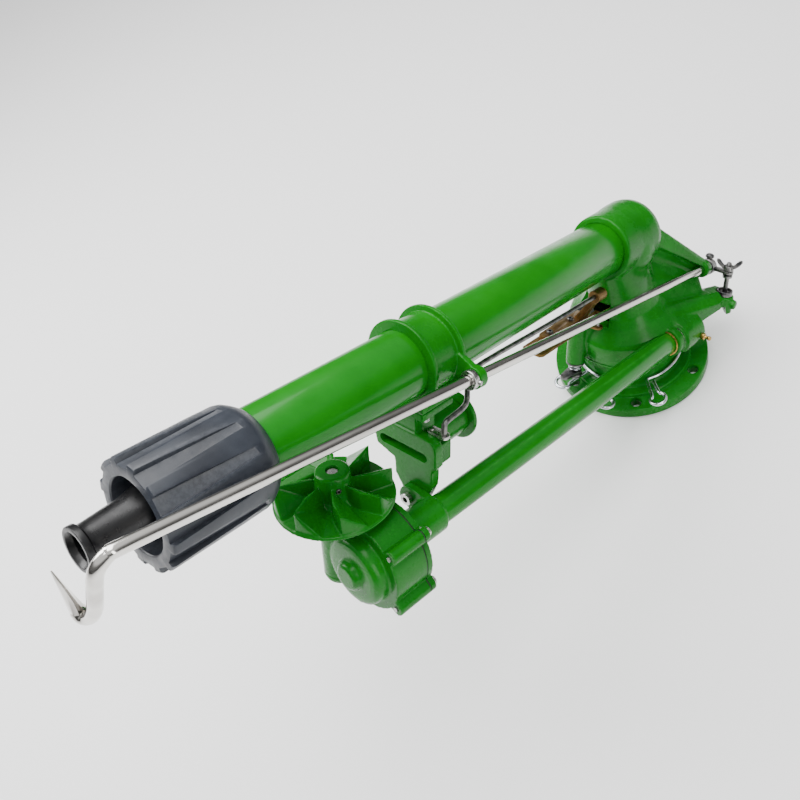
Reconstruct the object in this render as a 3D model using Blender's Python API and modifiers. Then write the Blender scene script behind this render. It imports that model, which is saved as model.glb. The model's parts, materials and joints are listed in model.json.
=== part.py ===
"""Large turbine-driven sprinkler gun: fixed inlet flange, swivelling gun body, long barrel,
turbine with a two-stage worm drive, wire stops, trip linkage and a hooked jet-breaker rod.

Frame: origin at the centre of the inlet flange's underside, +Z up along the swivel axis.
The barrel points along -Y and rises. Lengths are in metres.
"""
import math

import bmesh
import bpy
from mathutils import Matrix, Vector

COLLECTION = "sprinkler_gun"
CUTTERS = "sprinkler_gun_cutters"

# Driving sizes
BARREL_RISE = math.radians(23.0)
BARREL_AXIS_HEIGHT = 0.202
GAP = 0.0003
WELD = 0.00001

# Inlet flange, neck and swivel bearing
FLANGE_RADIUS = 0.095
FLANGE_THICKNESS = 0.014
FLANGE_STEP_RADIUS = 0.075
FLANGE_STEP_HEIGHT = 0.004
BOLT_CIRCLE_RADIUS = FLANGE_RADIUS - 0.012
BOLT_HOLE_RADIUS = 0.0068
BOLT_COUNT = 6
BOLT_PHASE = math.radians(4.0)
INLET_BORE_RADIUS = 0.036
NECK_RADIUS = 0.0615
NECK_TOP = 0.054
PIVOT_TUBE_RADIUS = 0.044
PIVOT_TUBE_TOP = 0.098
WASHER_THICKNESS = 0.0027
LOWER_WASHER_RADIUS = 0.0545
NECK_CHAMFER = 0.0042
UPPER_WASHER_RADIUS = 0.050
COVER_THICKNESS = 0.0045
RING_HEIGHT = 0.016
RING_TEETH = 30
RING_PITCH_RADIUS = 0.0498
TOOTH_DEPTH = 0.0040
BUSH_WALL = 0.0034
SEAL_HEIGHT = 0.0052

# Swivelling body
BELL_RADIUS = 0.068
BELL_WALL = 0.0135
THROAT_RADIUS = 0.0375
WATERWAY_RADIUS = 0.028
KNEE_RADIUS = 0.0415
KNEE_DROP = 0.010
KNEE_SETBACK = 0.012
COLLAR_RADIUS = 0.0373
COLLAR_FRONT = 0.031
COVER_SCREW_ANGLES = (75.0, 145.0, 215.0, 285.0)
COVER_HEAD_RADIUS = 0.0032
COVER_HEAD_HEIGHT = 0.0016
SCREW_HEAD_RADIUS = 0.0042
SCREW_SHANK_RADIUS = 0.0022
SCREW_HEAD_HEIGHT = 0.003

# Barrel, clamp sleeve, nozzle nut and nozzle
BARREL_RADIUS = 0.0305
BARREL_WALL = 0.003
BARREL_REAR = 0.002
BARREL_FRONT = 0.548
CLAMP_REAR = 0.311
CLAMP_FRONT = 0.351
CLAMP_FLANGE_RADIUS = 0.0394
CLAMP_FLANGE_THICKNESS = 0.004
CLAMP_SLEEVE_WALL = 0.003
NUT_RADIUS = 0.0417
NUT_REAR = 0.508
NUT_SHOULDER = 0.5206
NUT_FRONT = 0.5994
NUT_MOUTH_RADIUS = 0.0285
NUT_RIB_COUNT = 10
NUT_GROOVE_DEPTH = 0.0048
NUT_GROOVE_WIDTH = 0.0075
NOZZLE_FLANGE_THICKNESS = 0.004
NOZZLE_ROOT_RADIUS = 0.0265
NOZZLE_TIP_RADIUS = 0.0138
NOZZLE_LIP_RADIUS = 0.0161
NOZZLE_LIP_LENGTH = 0.005
NOZZLE_BORE_RADIUS = 0.0105
NOZZLE_FRONT = 0.6395
VANE_COUNT = 6
VANE_LENGTH = 0.090
VANE_THICKNESS = 0.0016
VANE_REAR = 0.150

# Drive tube line from the worm tunnel to the gear case, in the barrel's frame
DRIVE_REAR = Vector((0.066, -0.120, -0.046))
DRIVE_FRONT = Vector((0.040, -0.136, 0.352))
DRIVE_TUBE_RADIUS = 0.0135
DRIVE_TUBE_WALL = 0.003
DRIVE_SHAFT_RADIUS = 0.0048
TUBE_REAR = 0.0042
BASE_WORM_RADIUS = 0.0136
BASE_RIDGE_RADIUS = 0.0154
BASE_WORM_LENGTH = 0.022
BASE_WORM_CENTRE = -0.0070
THREAD_HEIGHT = 0.0040
TUNNEL_RADIUS = 0.0215
TUNNEL_BORE_RADIUS = 0.0180
TUNNEL_DEPTH = 0.032
TUNNEL_WALL = 0.006
TUNNEL_COLLAR_LENGTH = 0.0135
TUNNEL_RING_WALL = 0.0016
TUNNEL_BUSH_RADIUS = 0.0100
TUNNEL_STEP = -0.0190

# Gear case and turbine, measured along the drive line
WHEEL_TEETH = 15
WHEEL_PITCH_RADIUS = 0.0245
WHEEL_WIDTH = 0.012
TURBINE_WORM_RADIUS = 0.0078
TURBINE_PITCH_RADIUS = 0.0082
TURBINE_WORM_LENGTH = 0.020
TURBINE_OFFSET = 0.0350
TURBINE_STATION = 0.480
CASE_BACK = 0.4440
CASE_COVER_THICKNESS = 0.0055
CASE_RADIUS = 0.0408
CASE_FACE = 0.4840
GASKET_THICKNESS = 0.0008
SOCKET_LENGTH = 0.044
WING_THICKNESS = 0.008
SOCKET_WALL = 0.0032
SHAFT_BUSH_RADIUS = 0.0079
DRUM_FACE = 0.4965
CASE_DRUM_RADIUS = 0.0345
CASE_NOSE_RADIUS = 0.0130
CASE_NOSE_LENGTH = 0.007
CASE_CAVITY_RADIUS = 0.0305
CASE_CAVITY_FRONT = 0.4910
CASE_LUG_RADIUS = 0.0066
CASE_LUG_CIRCLE = 0.0440
CASE_LUG_ANGLES = (-31.0, 41.0, 113.0, 257.0)
WORM_BOSS_RADIUS = 0.0155
WORM_BOSS_BORE = 0.0128
WORM_BOSS_TOP = 0.040
WORM_BOSS_BOTTOM = -0.0265
TURBINE_SHAFT_RADIUS = 0.0052
TURBINE_RADIUS = 0.0505
TURBINE_PLATE_HEIGHT = 0.049
TURBINE_PLATE_THICKNESS = 0.003
TURBINE_VANE_COUNT = 8
TURBINE_VANE_HEIGHT = 0.018
TURBINE_VANE_THICKNESS = 0.003
TURBINE_HUB_RADIUS = 0.0145
TURBINE_HUB_TOP = 0.078

# Jet bracket under the clamp, in the barrel's frame
BRACKET_FACE = 0.350
BRACKET_THICKNESS = 0.010
BAR_HALF_WIDTH = 0.038
BAR_TOP = -0.066
BAR_BOTTOM = -0.098
SLOT_HALF_LENGTH = 0.028
SLOT_HEIGHT = 0.009
SLOT_CENTRE = -0.0865
CHAMBER_DEPTH = 0.022
CHAMBER_WALL = 0.005
DRUM_RADIUS = 0.0175
DRUM_CAP_RADIUS = 0.0240
DRUM_CAP_THICKNESS = 0.005
DRUM_REAR = 0.279
DRUM_BORE = 0.011
NECK_HALF_WIDTH = 0.014
PAD_HALF_WIDTH = 0.0245
PAD_THICKNESS = 0.008
BRACKET_BOLT_OFFSET = 0.0190
STEM_RADIUS = 0.0125
STEM_FOOT = Vector((0.013, -0.130, 0.0))
DEFLECTOR_PIVOT = Vector((0.0225, 0.0, 0.337))
DEFLECTOR_PIN_RADIUS = 0.0026
CRANK_ARM = 0.014
BLADE_LENGTH = 0.031

# Trip linkage
TRIP_PIVOT = Vector((-0.026, 0.0, 0.017))
TRIP_POST_RADIUS = 0.0115
TRIP_POST_TOP = -0.104
TRIP_POST_BOTTOM = -0.158
TRIP_PIN_RADIUS = 0.004
TRIP_CRANK_RADIUS = 0.026
PLATE_THICKNESS = 0.003
PLATE_TOP = -0.085
LINK_BAR_THICKNESS = 0.005
LINK_TRAVEL = 0.003
SHIFT_ROD_RADIUS = 0.0026
SHIFT_REAR = Vector((0.013, -0.045, 0.046))
SHIFT_FRONT = Vector((0.013, -0.038, 0.268))

# Wire stops round the neck
WIRE_RADIUS = 0.0022
STOP_RING_RADIUS = NECK_RADIUS + WIRE_RADIUS + GAP
STOP_LOOP_RADIUS = 0.0088
STOP_LOOP_CENTRE = 0.100
STOP_A_HEIGHT = 0.0290
STOP_B_HEIGHT = 0.0244
STOP_A_ANGLES = (math.radians(-41.0), math.radians(284.0))
STOP_B_ANGLES = (math.radians(-114.0), math.radians(-490.0 + 41.0 + 165.0))

# Jet-breaker rod, in the barrel's frame
ROD_RADIUS = 0.0050
ROD_REAR = Vector((0.0602, -0.0590, -0.137))
ROD_EYE = Vector((0.0600, -0.0570, -0.119))
ROD_BEND = Vector((0.0460, 0.0262, 0.634))
EYE_RADIUS = 0.0098
EYE_LENGTH = 0.012
PLUNGER_SIDE = 0.026
PLUNGER_RADIUS = 0.0030
CUP_RADIUS = 0.0095
CUP_DEPTH = 0.0065
CUP_STEM_RADIUS = 0.0062
CUP_STEM_LENGTH = 0.0100
CUP_DROP = 0.0300


def frame_at(origin, z_axis, x_hint):
    """A placed frame whose Z points along z_axis and whose X leans to x_hint."""
    z = Vector(z_axis).normalized()
    x = Vector(x_hint)
    x = (x - x.dot(z) * z).normalized()
    y = z.cross(x)
    frame = Matrix((x, y, z)).transposed().to_4x4()
    frame.translation = Vector(origin)
    return frame


def shifted(frame, x=0.0, y=0.0, z=0.0):
    return frame @ Matrix.Translation((x, y, z))


def turned_about(frame, angle, axis):
    return frame @ Matrix.Rotation(angle, 4, axis)


WORLD = Matrix.Identity(4)
BARREL = frame_at((0.0, 0.0, BARREL_AXIS_HEIGHT),
                  (0.0, -math.cos(BARREL_RISE), math.sin(BARREL_RISE)), (1.0, 0.0, 0.0))
DRIVE = frame_at(BARREL @ DRIVE_REAR, (BARREL @ DRIVE_FRONT) - (BARREL @ DRIVE_REAR), (1.0, 0.0, 0.0))
# The turbine's own frame: Z up its shaft, origin level with the drive line
TURBINE = turned_about(shifted(DRIVE, x=-TURBINE_OFFSET, z=TURBINE_STATION), -math.pi / 2, "X")
# The trip pin, the deflector pin and the plunger stand square to the barrel
UPRIGHT = turned_about(BARREL, -math.pi / 2, "X")
ROD = frame_at(BARREL @ ROD_REAR, (BARREL @ ROD_BEND) - (BARREL @ ROD_REAR), (1.0, 0.0, 0.0))
ROD_LENGTH = (ROD_BEND - ROD_REAR).length

# The pieces that turn with the swivelling body
GUN_NODES = (
    "swivel_body", "case_cover", "swivel_bush", "swivel_seal", "barrel", "flow_straightener", "barrel_clamp",
    "nozzle_nut", "nozzle", "nozzle_seal", "jet_bracket", "bracket_bolt_left", "bracket_bolt_right", "drum_cap",
    "gear_case_rear", "case_gasket", "gear_case_front", "gear_case_screw_1", "gear_case_screw_2",
    "gear_case_screw_3", "gear_case_screw_4", "bracket_screw", "turbine_bush", "bottom_plug", "drive_tube",
    "cover_bush", "nose_bush", "tunnel_bush", "tunnel_ring", "front_grease_nipple", "rear_grease_nipple",
    "trip_washer", "plunger_cup",
)

parts = None
cutters = None
materials = {}
PAINTS = {
    "green_paint": ((0.014, 0.175, 0.022), 0.28, 0.0),
    "grey_plastic": ((0.085, 0.095, 0.108), 0.45, 0.0),
    "black_plastic": ((0.010, 0.010, 0.011), 0.35, 0.0),
    "polished_steel": ((0.62, 0.61, 0.58), 0.16, 1.0),
    "dark_steel": ((0.16, 0.16, 0.165), 0.42, 1.0),
    "zinc_wire": ((0.55, 0.57, 0.60), 0.30, 1.0),
    "yellow_zinc": ((0.34, 0.22, 0.075), 0.40, 1.0),
    "brass": ((0.62, 0.44, 0.17), 0.32, 1.0),
    "bronze": ((0.42, 0.26, 0.12), 0.40, 1.0),
    "rubber": ((0.014, 0.014, 0.014), 0.80, 0.0),
}


def paint(name):
    """The Principled material of one finish, made once."""
    if name not in materials:
        colour, roughness, metallic = PAINTS[name]
        material = bpy.data.materials.new(name)
        material.use_nodes = True
        shader = material.node_tree.nodes["Principled BSDF"]
        shader.inputs["Base Color"].default_value = (*colour, 1.0)
        shader.inputs["Roughness"].default_value = roughness
        shader.inputs["Metallic"].default_value = metallic
        material.diffuse_color = (*colour, 1.0)
        materials[name] = material
    return materials[name]


def clear_scene():
    for item in list(bpy.data.objects):
        bpy.data.objects.remove(item, do_unlink=True)


def make_collections():
    global parts, cutters
    parts = bpy.data.collections.new(COLLECTION)
    cutters = bpy.data.collections.new(CUTTERS)
    bpy.context.scene.collection.children.link(parts)
    bpy.context.scene.collection.children.link(cutters)


def place(item, frame, finish):
    """Puts an object among the parts, or among the cutters where it has no finish."""
    item.matrix_world = frame
    if finish is None:
        cutters.objects.link(item)
        item.hide_render = True
        item.display_type = "WIRE"
    else:
        parts.objects.link(item)
        item.data.materials.append(paint(finish))
    return item


def smooth(item, angle=math.radians(35.0)):
    item.data.shade_smooth()
    item.data.set_sharp_from_angle(angle=angle)
    return item


def from_bmesh(name, bm, frame, finish=None):
    bmesh.ops.recalc_face_normals(bm, faces=bm.faces)
    mesh = bpy.data.meshes.new(name)
    bm.to_mesh(mesh)
    bm.free()
    return smooth(place(bpy.data.objects.new(name, mesh), frame, finish))


def turned(name, profile, frame, finish=None, steps=32, closed=True):
    """A profile of (radius, height) points swept round Z by a Screw modifier."""
    mesh = bpy.data.meshes.new(name)
    count = len(profile)
    edges = [(i, i + 1) for i in range(count - 1)]
    if closed:
        edges.append((count - 1, 0))
    mesh.from_pydata([(r, 0.0, z) for r, z in profile], edges, [])
    item = bpy.data.objects.new(name, mesh)
    screw = item.modifiers.new("Turn", "SCREW")
    screw.steps = screw.render_steps = steps
    screw.use_merge_vertices = True
    screw.merge_threshold = WELD
    screw.use_smooth_shade = True
    return place(item, frame, finish)


def ring(name, inner, outer, low, high, frame, finish=None, steps=32):
    """A plain ring: its profile runs down the outer side and back up the bore."""
    return turned(name, [(outer, high), (outer, low), (inner, low), (inner, high)], frame, finish, steps)


def rod(name, radius, low, high, frame, finish=None, steps=24):
    """A plain round bar along Z."""
    return turned(name, [(0.0, high), (radius, high), (radius, low), (0.0, low)], frame, finish, steps,
                  closed=False)


def block(name, low, high, frame, finish=None, bevel=0.0):
    """A box between two corners."""
    bm = bmesh.new()
    bmesh.ops.create_cube(bm, size=1.0)
    low, high = Vector(low), Vector(high)
    size, centre = high - low, (high + low) / 2
    bmesh.ops.scale(bm, vec=size, verts=bm.verts)
    bmesh.ops.translate(bm, vec=centre, verts=bm.verts)
    item = from_bmesh(name, bm, frame, finish)
    if bevel:
        edge = item.modifiers.new("Edges", "BEVEL")
        edge.width = bevel
        edge.segments = 2
    return item


def hull(name, points, frame, finish=None):
    """The convex hull of a set of points."""
    bm = bmesh.new()
    for point in points:
        bm.verts.new(point)
    result = bmesh.ops.convex_hull(bm, input=bm.verts)
    loose = [v for v in result["geom_interior"] if isinstance(v, bmesh.types.BMVert)]
    bmesh.ops.delete(bm, geom=loose, context="VERTS")
    bmesh.ops.dissolve_limit(bm, angle_limit=math.radians(1.0), verts=bm.verts, edges=bm.edges)
    return from_bmesh(name, bm, frame, finish)


def circle_points(centre, radius, frame=WORLD, count=12):
    """Points of a circle square to Z of a frame, given in that frame's parent."""
    made = []
    for i in range(count):
        angle = 2 * math.pi * i / count
        made.append(frame @ (Vector(centre) + Vector((radius * math.cos(angle), radius * math.sin(angle), 0))))
    return made


def ball_points(centre, radius, rows=4, count=8):
    made = []
    for row in range(rows + 1):
        lift = math.pi * row / rows
        made += circle_points(Vector(centre) + Vector((0, 0, radius * math.cos(lift))),
                              radius * math.sin(lift), count=count)
    return made


def outline(name, points, low, high, frame, finish=None):
    """A flat outline in XY, extruded from low to high along Z."""
    curve = bpy.data.curves.new(name, "CURVE")
    curve.dimensions = "2D"
    curve.fill_mode = "BOTH"
    curve.extrude = (high - low) / 2
    spline = curve.splines.new("POLY")
    spline.points.add(len(points) - 1)
    for point, (x, y) in zip(spline.points, points):
        point.co = (x, y, 0.0, 1.0)
    spline.use_cyclic_u = True
    return to_mesh(bpy.data.objects.new(name, curve), shifted(frame, z=(high + low) / 2), finish)


def tube_along(name, points, radius, frame, finish=None, resolution=2, closed=False):
    """A round tube along a poly spline with filled caps."""
    curve = bpy.data.curves.new(name, "CURVE")
    curve.dimensions = "3D"
    curve.bevel_depth = radius
    curve.bevel_resolution = resolution
    curve.use_fill_caps = not closed
    spline = curve.splines.new("POLY")
    spline.points.add(len(points) - 1)
    for point, place_at in zip(spline.points, points):
        point.co = (*place_at, 1.0)
    spline.use_cyclic_u = closed
    return to_mesh(bpy.data.objects.new(name, curve), frame, finish)


def to_mesh(item, frame, finish):
    """Turns a curve object into a closed mesh object at the same place."""
    bpy.context.scene.collection.objects.link(item)
    bpy.context.view_layer.update()
    mesh = bpy.data.meshes.new_from_object(item.evaluated_get(bpy.context.evaluated_depsgraph_get()))
    name = item.name
    data = item.data
    bpy.data.objects.remove(item)
    bpy.data.curves.remove(data)
    bm = bmesh.new()
    bm.from_mesh(mesh)
    bpy.data.meshes.remove(mesh)
    bmesh.ops.remove_doubles(bm, verts=bm.verts, dist=WELD)
    return from_bmesh(name, bm, frame, finish)


def combine(item, others, operation):
    for other in others:
        step = item.modifiers.new(other.name, "BOOLEAN")
        step.operation = operation
        step.object = other
    return item


def cut(item, *others):
    return combine(item, others, "DIFFERENCE")


def join(item, *others):
    return combine(item, others, "UNION")


def sturdy(item):
    """These castings' faces graze each other, which the exact solver leaves open."""
    for step in item.modifiers:
        if step.type == "BOOLEAN":
            step.solver = "MANIFOLD"
    return item


def polar(radius, angle):
    return radius * math.cos(angle), radius * math.sin(angle)


def screw(name, x, y, seat, frame, finish, head=SCREW_HEAD_RADIUS, shank=SCREW_SHANK_RADIUS,
          head_height=SCREW_HEAD_HEIGHT, reach=0.008):
    """A cap screw, head up along Z, whose head rests on a face at height seat."""
    return turned(name, [(0.0, seat + head_height), (head, seat + head_height), (head, seat + GAP),
                         (shank, seat + GAP), (shank, seat - reach), (0.0, seat - reach)],
                  shifted(frame, x, y), finish, steps=10, closed=False)


def gear(name, teeth, pitch_radius, bore, width, twist, frame, finish):
    """A toothed ring with slanted teeth, centred on the frame's origin."""
    root = pitch_radius - TOOTH_DEPTH / 2
    tip = pitch_radius + TOOTH_DEPTH / 2
    pitch = 2 * math.pi / teeth
    root_share, tip_share = 0.25, 0.12
    bm = bmesh.new()
    loop = []
    for i in range(teeth):
        middle = i * pitch
        for radius, share in ((root, -root_share), (tip, -tip_share), (tip, tip_share), (root, root_share)):
            x, y = polar(radius, middle + share * pitch)
            loop.append(bm.verts.new((x, y, -width / 2)))
    face = bm.faces.new(loop)
    grown = bmesh.ops.extrude_face_region(bm, geom=[face])
    top = [v for v in grown["geom"] if isinstance(v, bmesh.types.BMVert)]
    bmesh.ops.translate(bm, vec=(0, 0, width), verts=top)
    bmesh.ops.rotate(bm, cent=(0, 0, 0), matrix=Matrix.Rotation(twist / 2, 3, "Z"), verts=top)
    low = [v for v in bm.verts if v not in top]
    bmesh.ops.rotate(bm, cent=(0, 0, 0), matrix=Matrix.Rotation(-twist / 2, 3, "Z"), verts=low)
    item = from_bmesh(name, bm, frame, finish)
    return cut(item, rod(name + "_bore", bore, -width, width, frame, steps=32 if bore > 0.02 else 16))


def thread(name, radius, lead, length, phase, frame, hand=1):
    """A helical ridge on a worm, its crest at the phase angle where it crosses mid length."""
    per_turn = 12
    turns = length / lead
    count = int(turns * per_turn)
    points = []
    for i in range(count + 1):
        along = -length / 2 + length * i / count
        angle = phase + hand * 2 * math.pi * along / lead
        x, y = polar(radius, angle)
        points.append((x, y, along))
    return tube_along(name, points, THREAD_HEIGHT / 2, frame, resolution=0)


def make_base():
    """Inlet flange and neck in one casting, with the worm ring and bearing round its pivot tube."""
    top = FLANGE_THICKNESS + FLANGE_STEP_HEIGHT
    profile = [(PIVOT_TUBE_RADIUS, PIVOT_TUBE_TOP), (PIVOT_TUBE_RADIUS, NECK_TOP),
               (NECK_RADIUS - NECK_CHAMFER, NECK_TOP), (NECK_RADIUS, NECK_TOP - NECK_CHAMFER), (NECK_RADIUS, top), (FLANGE_STEP_RADIUS, top), (FLANGE_STEP_RADIUS, FLANGE_THICKNESS),
               (FLANGE_RADIUS, FLANGE_THICKNESS), (FLANGE_RADIUS, 0.0), (INLET_BORE_RADIUS, 0.0),
               (INLET_BORE_RADIUS, PIVOT_TUBE_TOP)]
    flange = turned("base_flange", profile, WORLD, "green_paint", steps=32)
    for i in range(BOLT_COUNT):
        x, y = polar(BOLT_CIRCLE_RADIUS, BOLT_PHASE + i * 2 * math.pi / BOLT_COUNT)
        hole = rod(f"bolt_hole_{i}", BOLT_HOLE_RADIUS, -0.01, FLANGE_THICKNESS + 0.01,
                   shifted(WORLD, x, y), steps=10)
        cut(flange, hole)
    low = NECK_TOP + GAP
    ring("lower_thrust_washer", PIVOT_TUBE_RADIUS + GAP, LOWER_WASHER_RADIUS, low, low + WASHER_THICKNESS,
         WORLD, "bronze", 32)
    ring("upper_thrust_washer", PIVOT_TUBE_RADIUS + GAP, UPPER_WASHER_RADIUS, ring_top() + GAP,
         ring_top() + GAP + WASHER_THICKNESS, WORLD, "bronze", 32)
    bush_low = body_floor() + GAP
    ring("swivel_bush", PIVOT_TUBE_RADIUS + GAP, PIVOT_TUBE_RADIUS + GAP + BUSH_WALL, bush_low,
         PIVOT_TUBE_TOP, WORLD, "bronze", 32)
    ring("swivel_seal", INLET_BORE_RADIUS, PIVOT_TUBE_RADIUS + GAP + BUSH_WALL, PIVOT_TUBE_TOP + GAP,
         PIVOT_TUBE_TOP + SEAL_HEIGHT, WORLD, "rubber", 32)


def cover_low():
    return NECK_TOP + WASHER_THICKNESS + 2 * GAP


def cover_top():
    return cover_low() + COVER_THICKNESS


def ring_low():
    return cover_top() + GAP


def ring_top():
    return ring_low() + RING_HEIGHT


def body_floor():
    """Height of the body's seat on the upper thrust washer."""
    return ring_top() + WASHER_THICKNESS + 2 * GAP


def worm_contact():
    """Where the base worm meets the ring: angle round the neck, height, and worm radius direction."""
    centre = DRIVE @ Vector((0.0, 0.0, BASE_WORM_CENTRE))
    return math.atan2(centre.y, centre.x), centre.z


def base_worm_pitch_radius():
    return math.hypot(DRIVE.translation.x, DRIVE.translation.y) - RING_PITCH_RADIUS


def base_lead():
    """Lead of the base worm, so that its crests keep the ring's pitch though the drive line is tilted."""
    pitch = 2 * math.pi * RING_PITCH_RADIUS / RING_TEETH
    rise = math.asin(DRIVE.col[2].z)
    return pitch * math.cos(rise) / (1 + pitch * math.sin(rise) / (2 * math.pi * base_worm_pitch_radius()))


def make_worm_ring():
    angle, _height = worm_contact()
    pitch = 2 * math.pi / RING_TEETH
    rise = math.asin(DRIVE.col[2].z)
    lead_angle = math.atan(base_lead() / (2 * math.pi * base_worm_pitch_radius()))
    slant = rise + lead_angle
    twist = math.tan(slant) * RING_HEIGHT / RING_PITCH_RADIUS
    middle = (ring_low() + ring_top()) / 2
    frame = turned_about(shifted(WORLD, z=middle), angle + pitch / 2, "Z")
    gear("worm_ring", RING_TEETH, RING_PITCH_RADIUS, PIVOT_TUBE_RADIUS + GAP, RING_HEIGHT, twist, frame,
         "bronze")


def make_body():
    """Elbow, bell, collar, worm tunnel, rear arm and cup arm as one casting."""
    low = cover_top() + GAP
    neck_high = BARREL_AXIS_HEIGHT - KNEE_DROP
    shell = [(0.0, neck_high), (THROAT_RADIUS, neck_high), (THROAT_RADIUS + 0.0005, 0.135),
             (0.0425, 0.118), (0.051, 0.106), (0.061, 0.097), (0.0665, 0.091), (BELL_RADIUS, 0.084),
             (BELL_RADIUS, low), (0.0, low)]
    body = turned("swivel_body", shell, WORLD, "green_paint", steps=32, closed=False)
    knee = Vector((0.0, -KNEE_DROP, -KNEE_SETBACK))
    bm = bmesh.new()
    bmesh.ops.create_uvsphere(bm, u_segments=18, v_segments=9, radius=KNEE_RADIUS)
    join(body, from_bmesh("knee", bm, shifted(BARREL, *knee)))
    join(body, turned("collar", [(0.0, COLLAR_FRONT), (COLLAR_RADIUS - 0.001, COLLAR_FRONT),
                                 (COLLAR_RADIUS, COLLAR_FRONT - 0.002), (COLLAR_RADIUS, -0.010),
                                 (0.0, -0.010)], BARREL, steps=28, closed=False))
    start, end = Vector((0.046, 0.012, 0.086)), Vector((0.082, 0.084, 0.060))
    join(body, hull("cup_arm", ball_points(start, 0.020) + ball_points(end, 0.0155), WORLD))
    plug = frame_at(end, (1.0, 0.0, 0.0), (0.0, 0.0, 1.0))
    join(body, rod("arm_plug", 0.0062, 0.0, 0.0205, plug, steps=12))
    join(body, hull("tunnel_web", ball_points((0.044, 0.010, 0.084), 0.020)
                    + [DRIVE @ p for p in circle_points((0, 0, -0.002), TUNNEL_RADIUS - 0.0009)]
                    + [DRIVE @ p for p in circle_points((0, 0, -0.034), TUNNEL_RADIUS - 0.0009)], WORLD))
    cut(body, rod("cover_space", BELL_RADIUS + 0.04, low - 0.05, low, WORLD, steps=32))
    join(body, tunnel())
    join(body, make_rear_arm())
    post_axis = shifted(UPRIGHT, TRIP_PIVOT.x, -TRIP_PIVOT.z)
    crank_space = rod("crank_space", TRIP_CRANK_RADIUS + 0.010, TRIP_POST_TOP - 0.0012, TRIP_POST_TOP + 0.03,
                      post_axis, steps=20)
    join(body, rod("trip_post", TRIP_POST_RADIUS, TRIP_POST_BOTTOM, TRIP_POST_TOP, post_axis, steps=20))
    web_top = shifted(post_axis, z=TRIP_POST_TOP)
    web_low = shifted(post_axis, z=TRIP_POST_TOP - 0.030)
    web = hull("trip_web", circle_points((0, 0, 0), TRIP_POST_RADIUS - 0.001, web_top)
               + circle_points((0, 0, 0), TRIP_POST_RADIUS - 0.001, web_low)
               + circle_points((-0.006, -0.036, 0.106), 0.006) + circle_points((-0.010, -0.044, 0.082), 0.006),
               WORLD)
    join(body, sturdy(cut(web, crank_space)))
    socket = cup_frame()
    join(body, rod("cup_pad", CUP_RADIUS + 0.002, -0.022, -GAP, socket, steps=18))
    cut(body, rod("cup_face", CUP_RADIUS + 0.0015, -GAP, 0.03, socket, steps=18))
    cut(body, rod("neck_space", NECK_RADIUS + 0.001, 0.0, low, WORLD, steps=32))
    cut(body, rod("ring_space", BELL_RADIUS - BELL_WALL, low - 0.01, body_floor(), WORLD, steps=32))
    cut(body, rod("bush_seat", PIVOT_TUBE_RADIUS + BUSH_WALL + 2 * GAP, low - 0.01,
                  PIVOT_TUBE_TOP + SEAL_HEIGHT + GAP, WORLD, steps=32))
    cut(body, turned("throat", [(0.0, neck_high), (WATERWAY_RADIUS, neck_high), (WATERWAY_RADIUS, 0.128),
                                (INLET_BORE_RADIUS - 0.001, 0.112), (INLET_BORE_RADIUS - 0.001, 0.095),
                                (0.0, 0.095)], WORLD, steps=28, closed=False))
    bm = bmesh.new()
    bmesh.ops.create_uvsphere(bm, u_segments=12, v_segments=6, radius=WATERWAY_RADIUS + 0.004)
    cut(body, from_bmesh("knee_space", bm, shifted(BARREL, *knee)))
    bore = [(0.0, COLLAR_FRONT + 0.01), (BARREL_RADIUS + GAP, COLLAR_FRONT + 0.01),
            (BARREL_RADIUS + GAP, BARREL_REAR - GAP), (WATERWAY_RADIUS, BARREL_REAR - GAP),
            (WATERWAY_RADIUS, -0.012), (0.0, -0.012)]
    cut(body, turned("collar_bore", bore, BARREL, steps=28, closed=False))
    tube_room = DRIVE_TUBE_RADIUS + GAP
    ring_room = tube_room + TUNNEL_RING_WALL
    bush_room = TUNNEL_BUSH_RADIUS + GAP
    cut(body, turned("worm_space", [(0.0, 0.09), (tube_room, 0.09), (tube_room, 0.017), (ring_room, 0.017),
                                    (ring_room, TUNNEL_COLLAR_LENGTH), (tube_room, TUNNEL_COLLAR_LENGTH),
                                    (tube_room, TUBE_REAR - GAP), (TUNNEL_BORE_RADIUS, TUBE_REAR - GAP),
                                    (TUNNEL_BORE_RADIUS, TUNNEL_STEP), (bush_room, TUNNEL_STEP),
                                    (bush_room, -TUNNEL_DEPTH), (0.0, -TUNNEL_DEPTH)], DRIVE, steps=20,
                     closed=False))
    cut(body, rod("trip_bore", TRIP_PIN_RADIUS + GAP, TRIP_POST_BOTTOM - 0.02, TRIP_POST_TOP + 0.03,
                  post_axis, steps=12))
    cut(body, rod("cup_bore", CUP_STEM_RADIUS + GAP, -0.018, 0.01, socket, steps=14))
    cut(body, rod("rear_eye_bore", ROD_RADIUS + GAP, -0.02, 0.05, rod_eye_frame(), steps=16))
    for i, (x, y) in enumerate(cover_screw_places()):
        cut(body, rod(f"cover_tap_{i}", SCREW_SHANK_RADIUS + GAP, low - 0.01, low + 0.010,
                      shifted(WORLD, x, y), steps=10))
    sturdy(body)


def cover_screw_places():
    radius = BELL_RADIUS - BELL_WALL / 2
    return [polar(radius, math.radians(angle)) for angle in COVER_SCREW_ANGLES]


def rod_eye_frame():
    """On the rod's axis at the rear eye's back face."""
    along = (ROD_EYE - ROD_REAR).length - EYE_LENGTH / 2
    return shifted(ROD, z=along)


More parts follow.
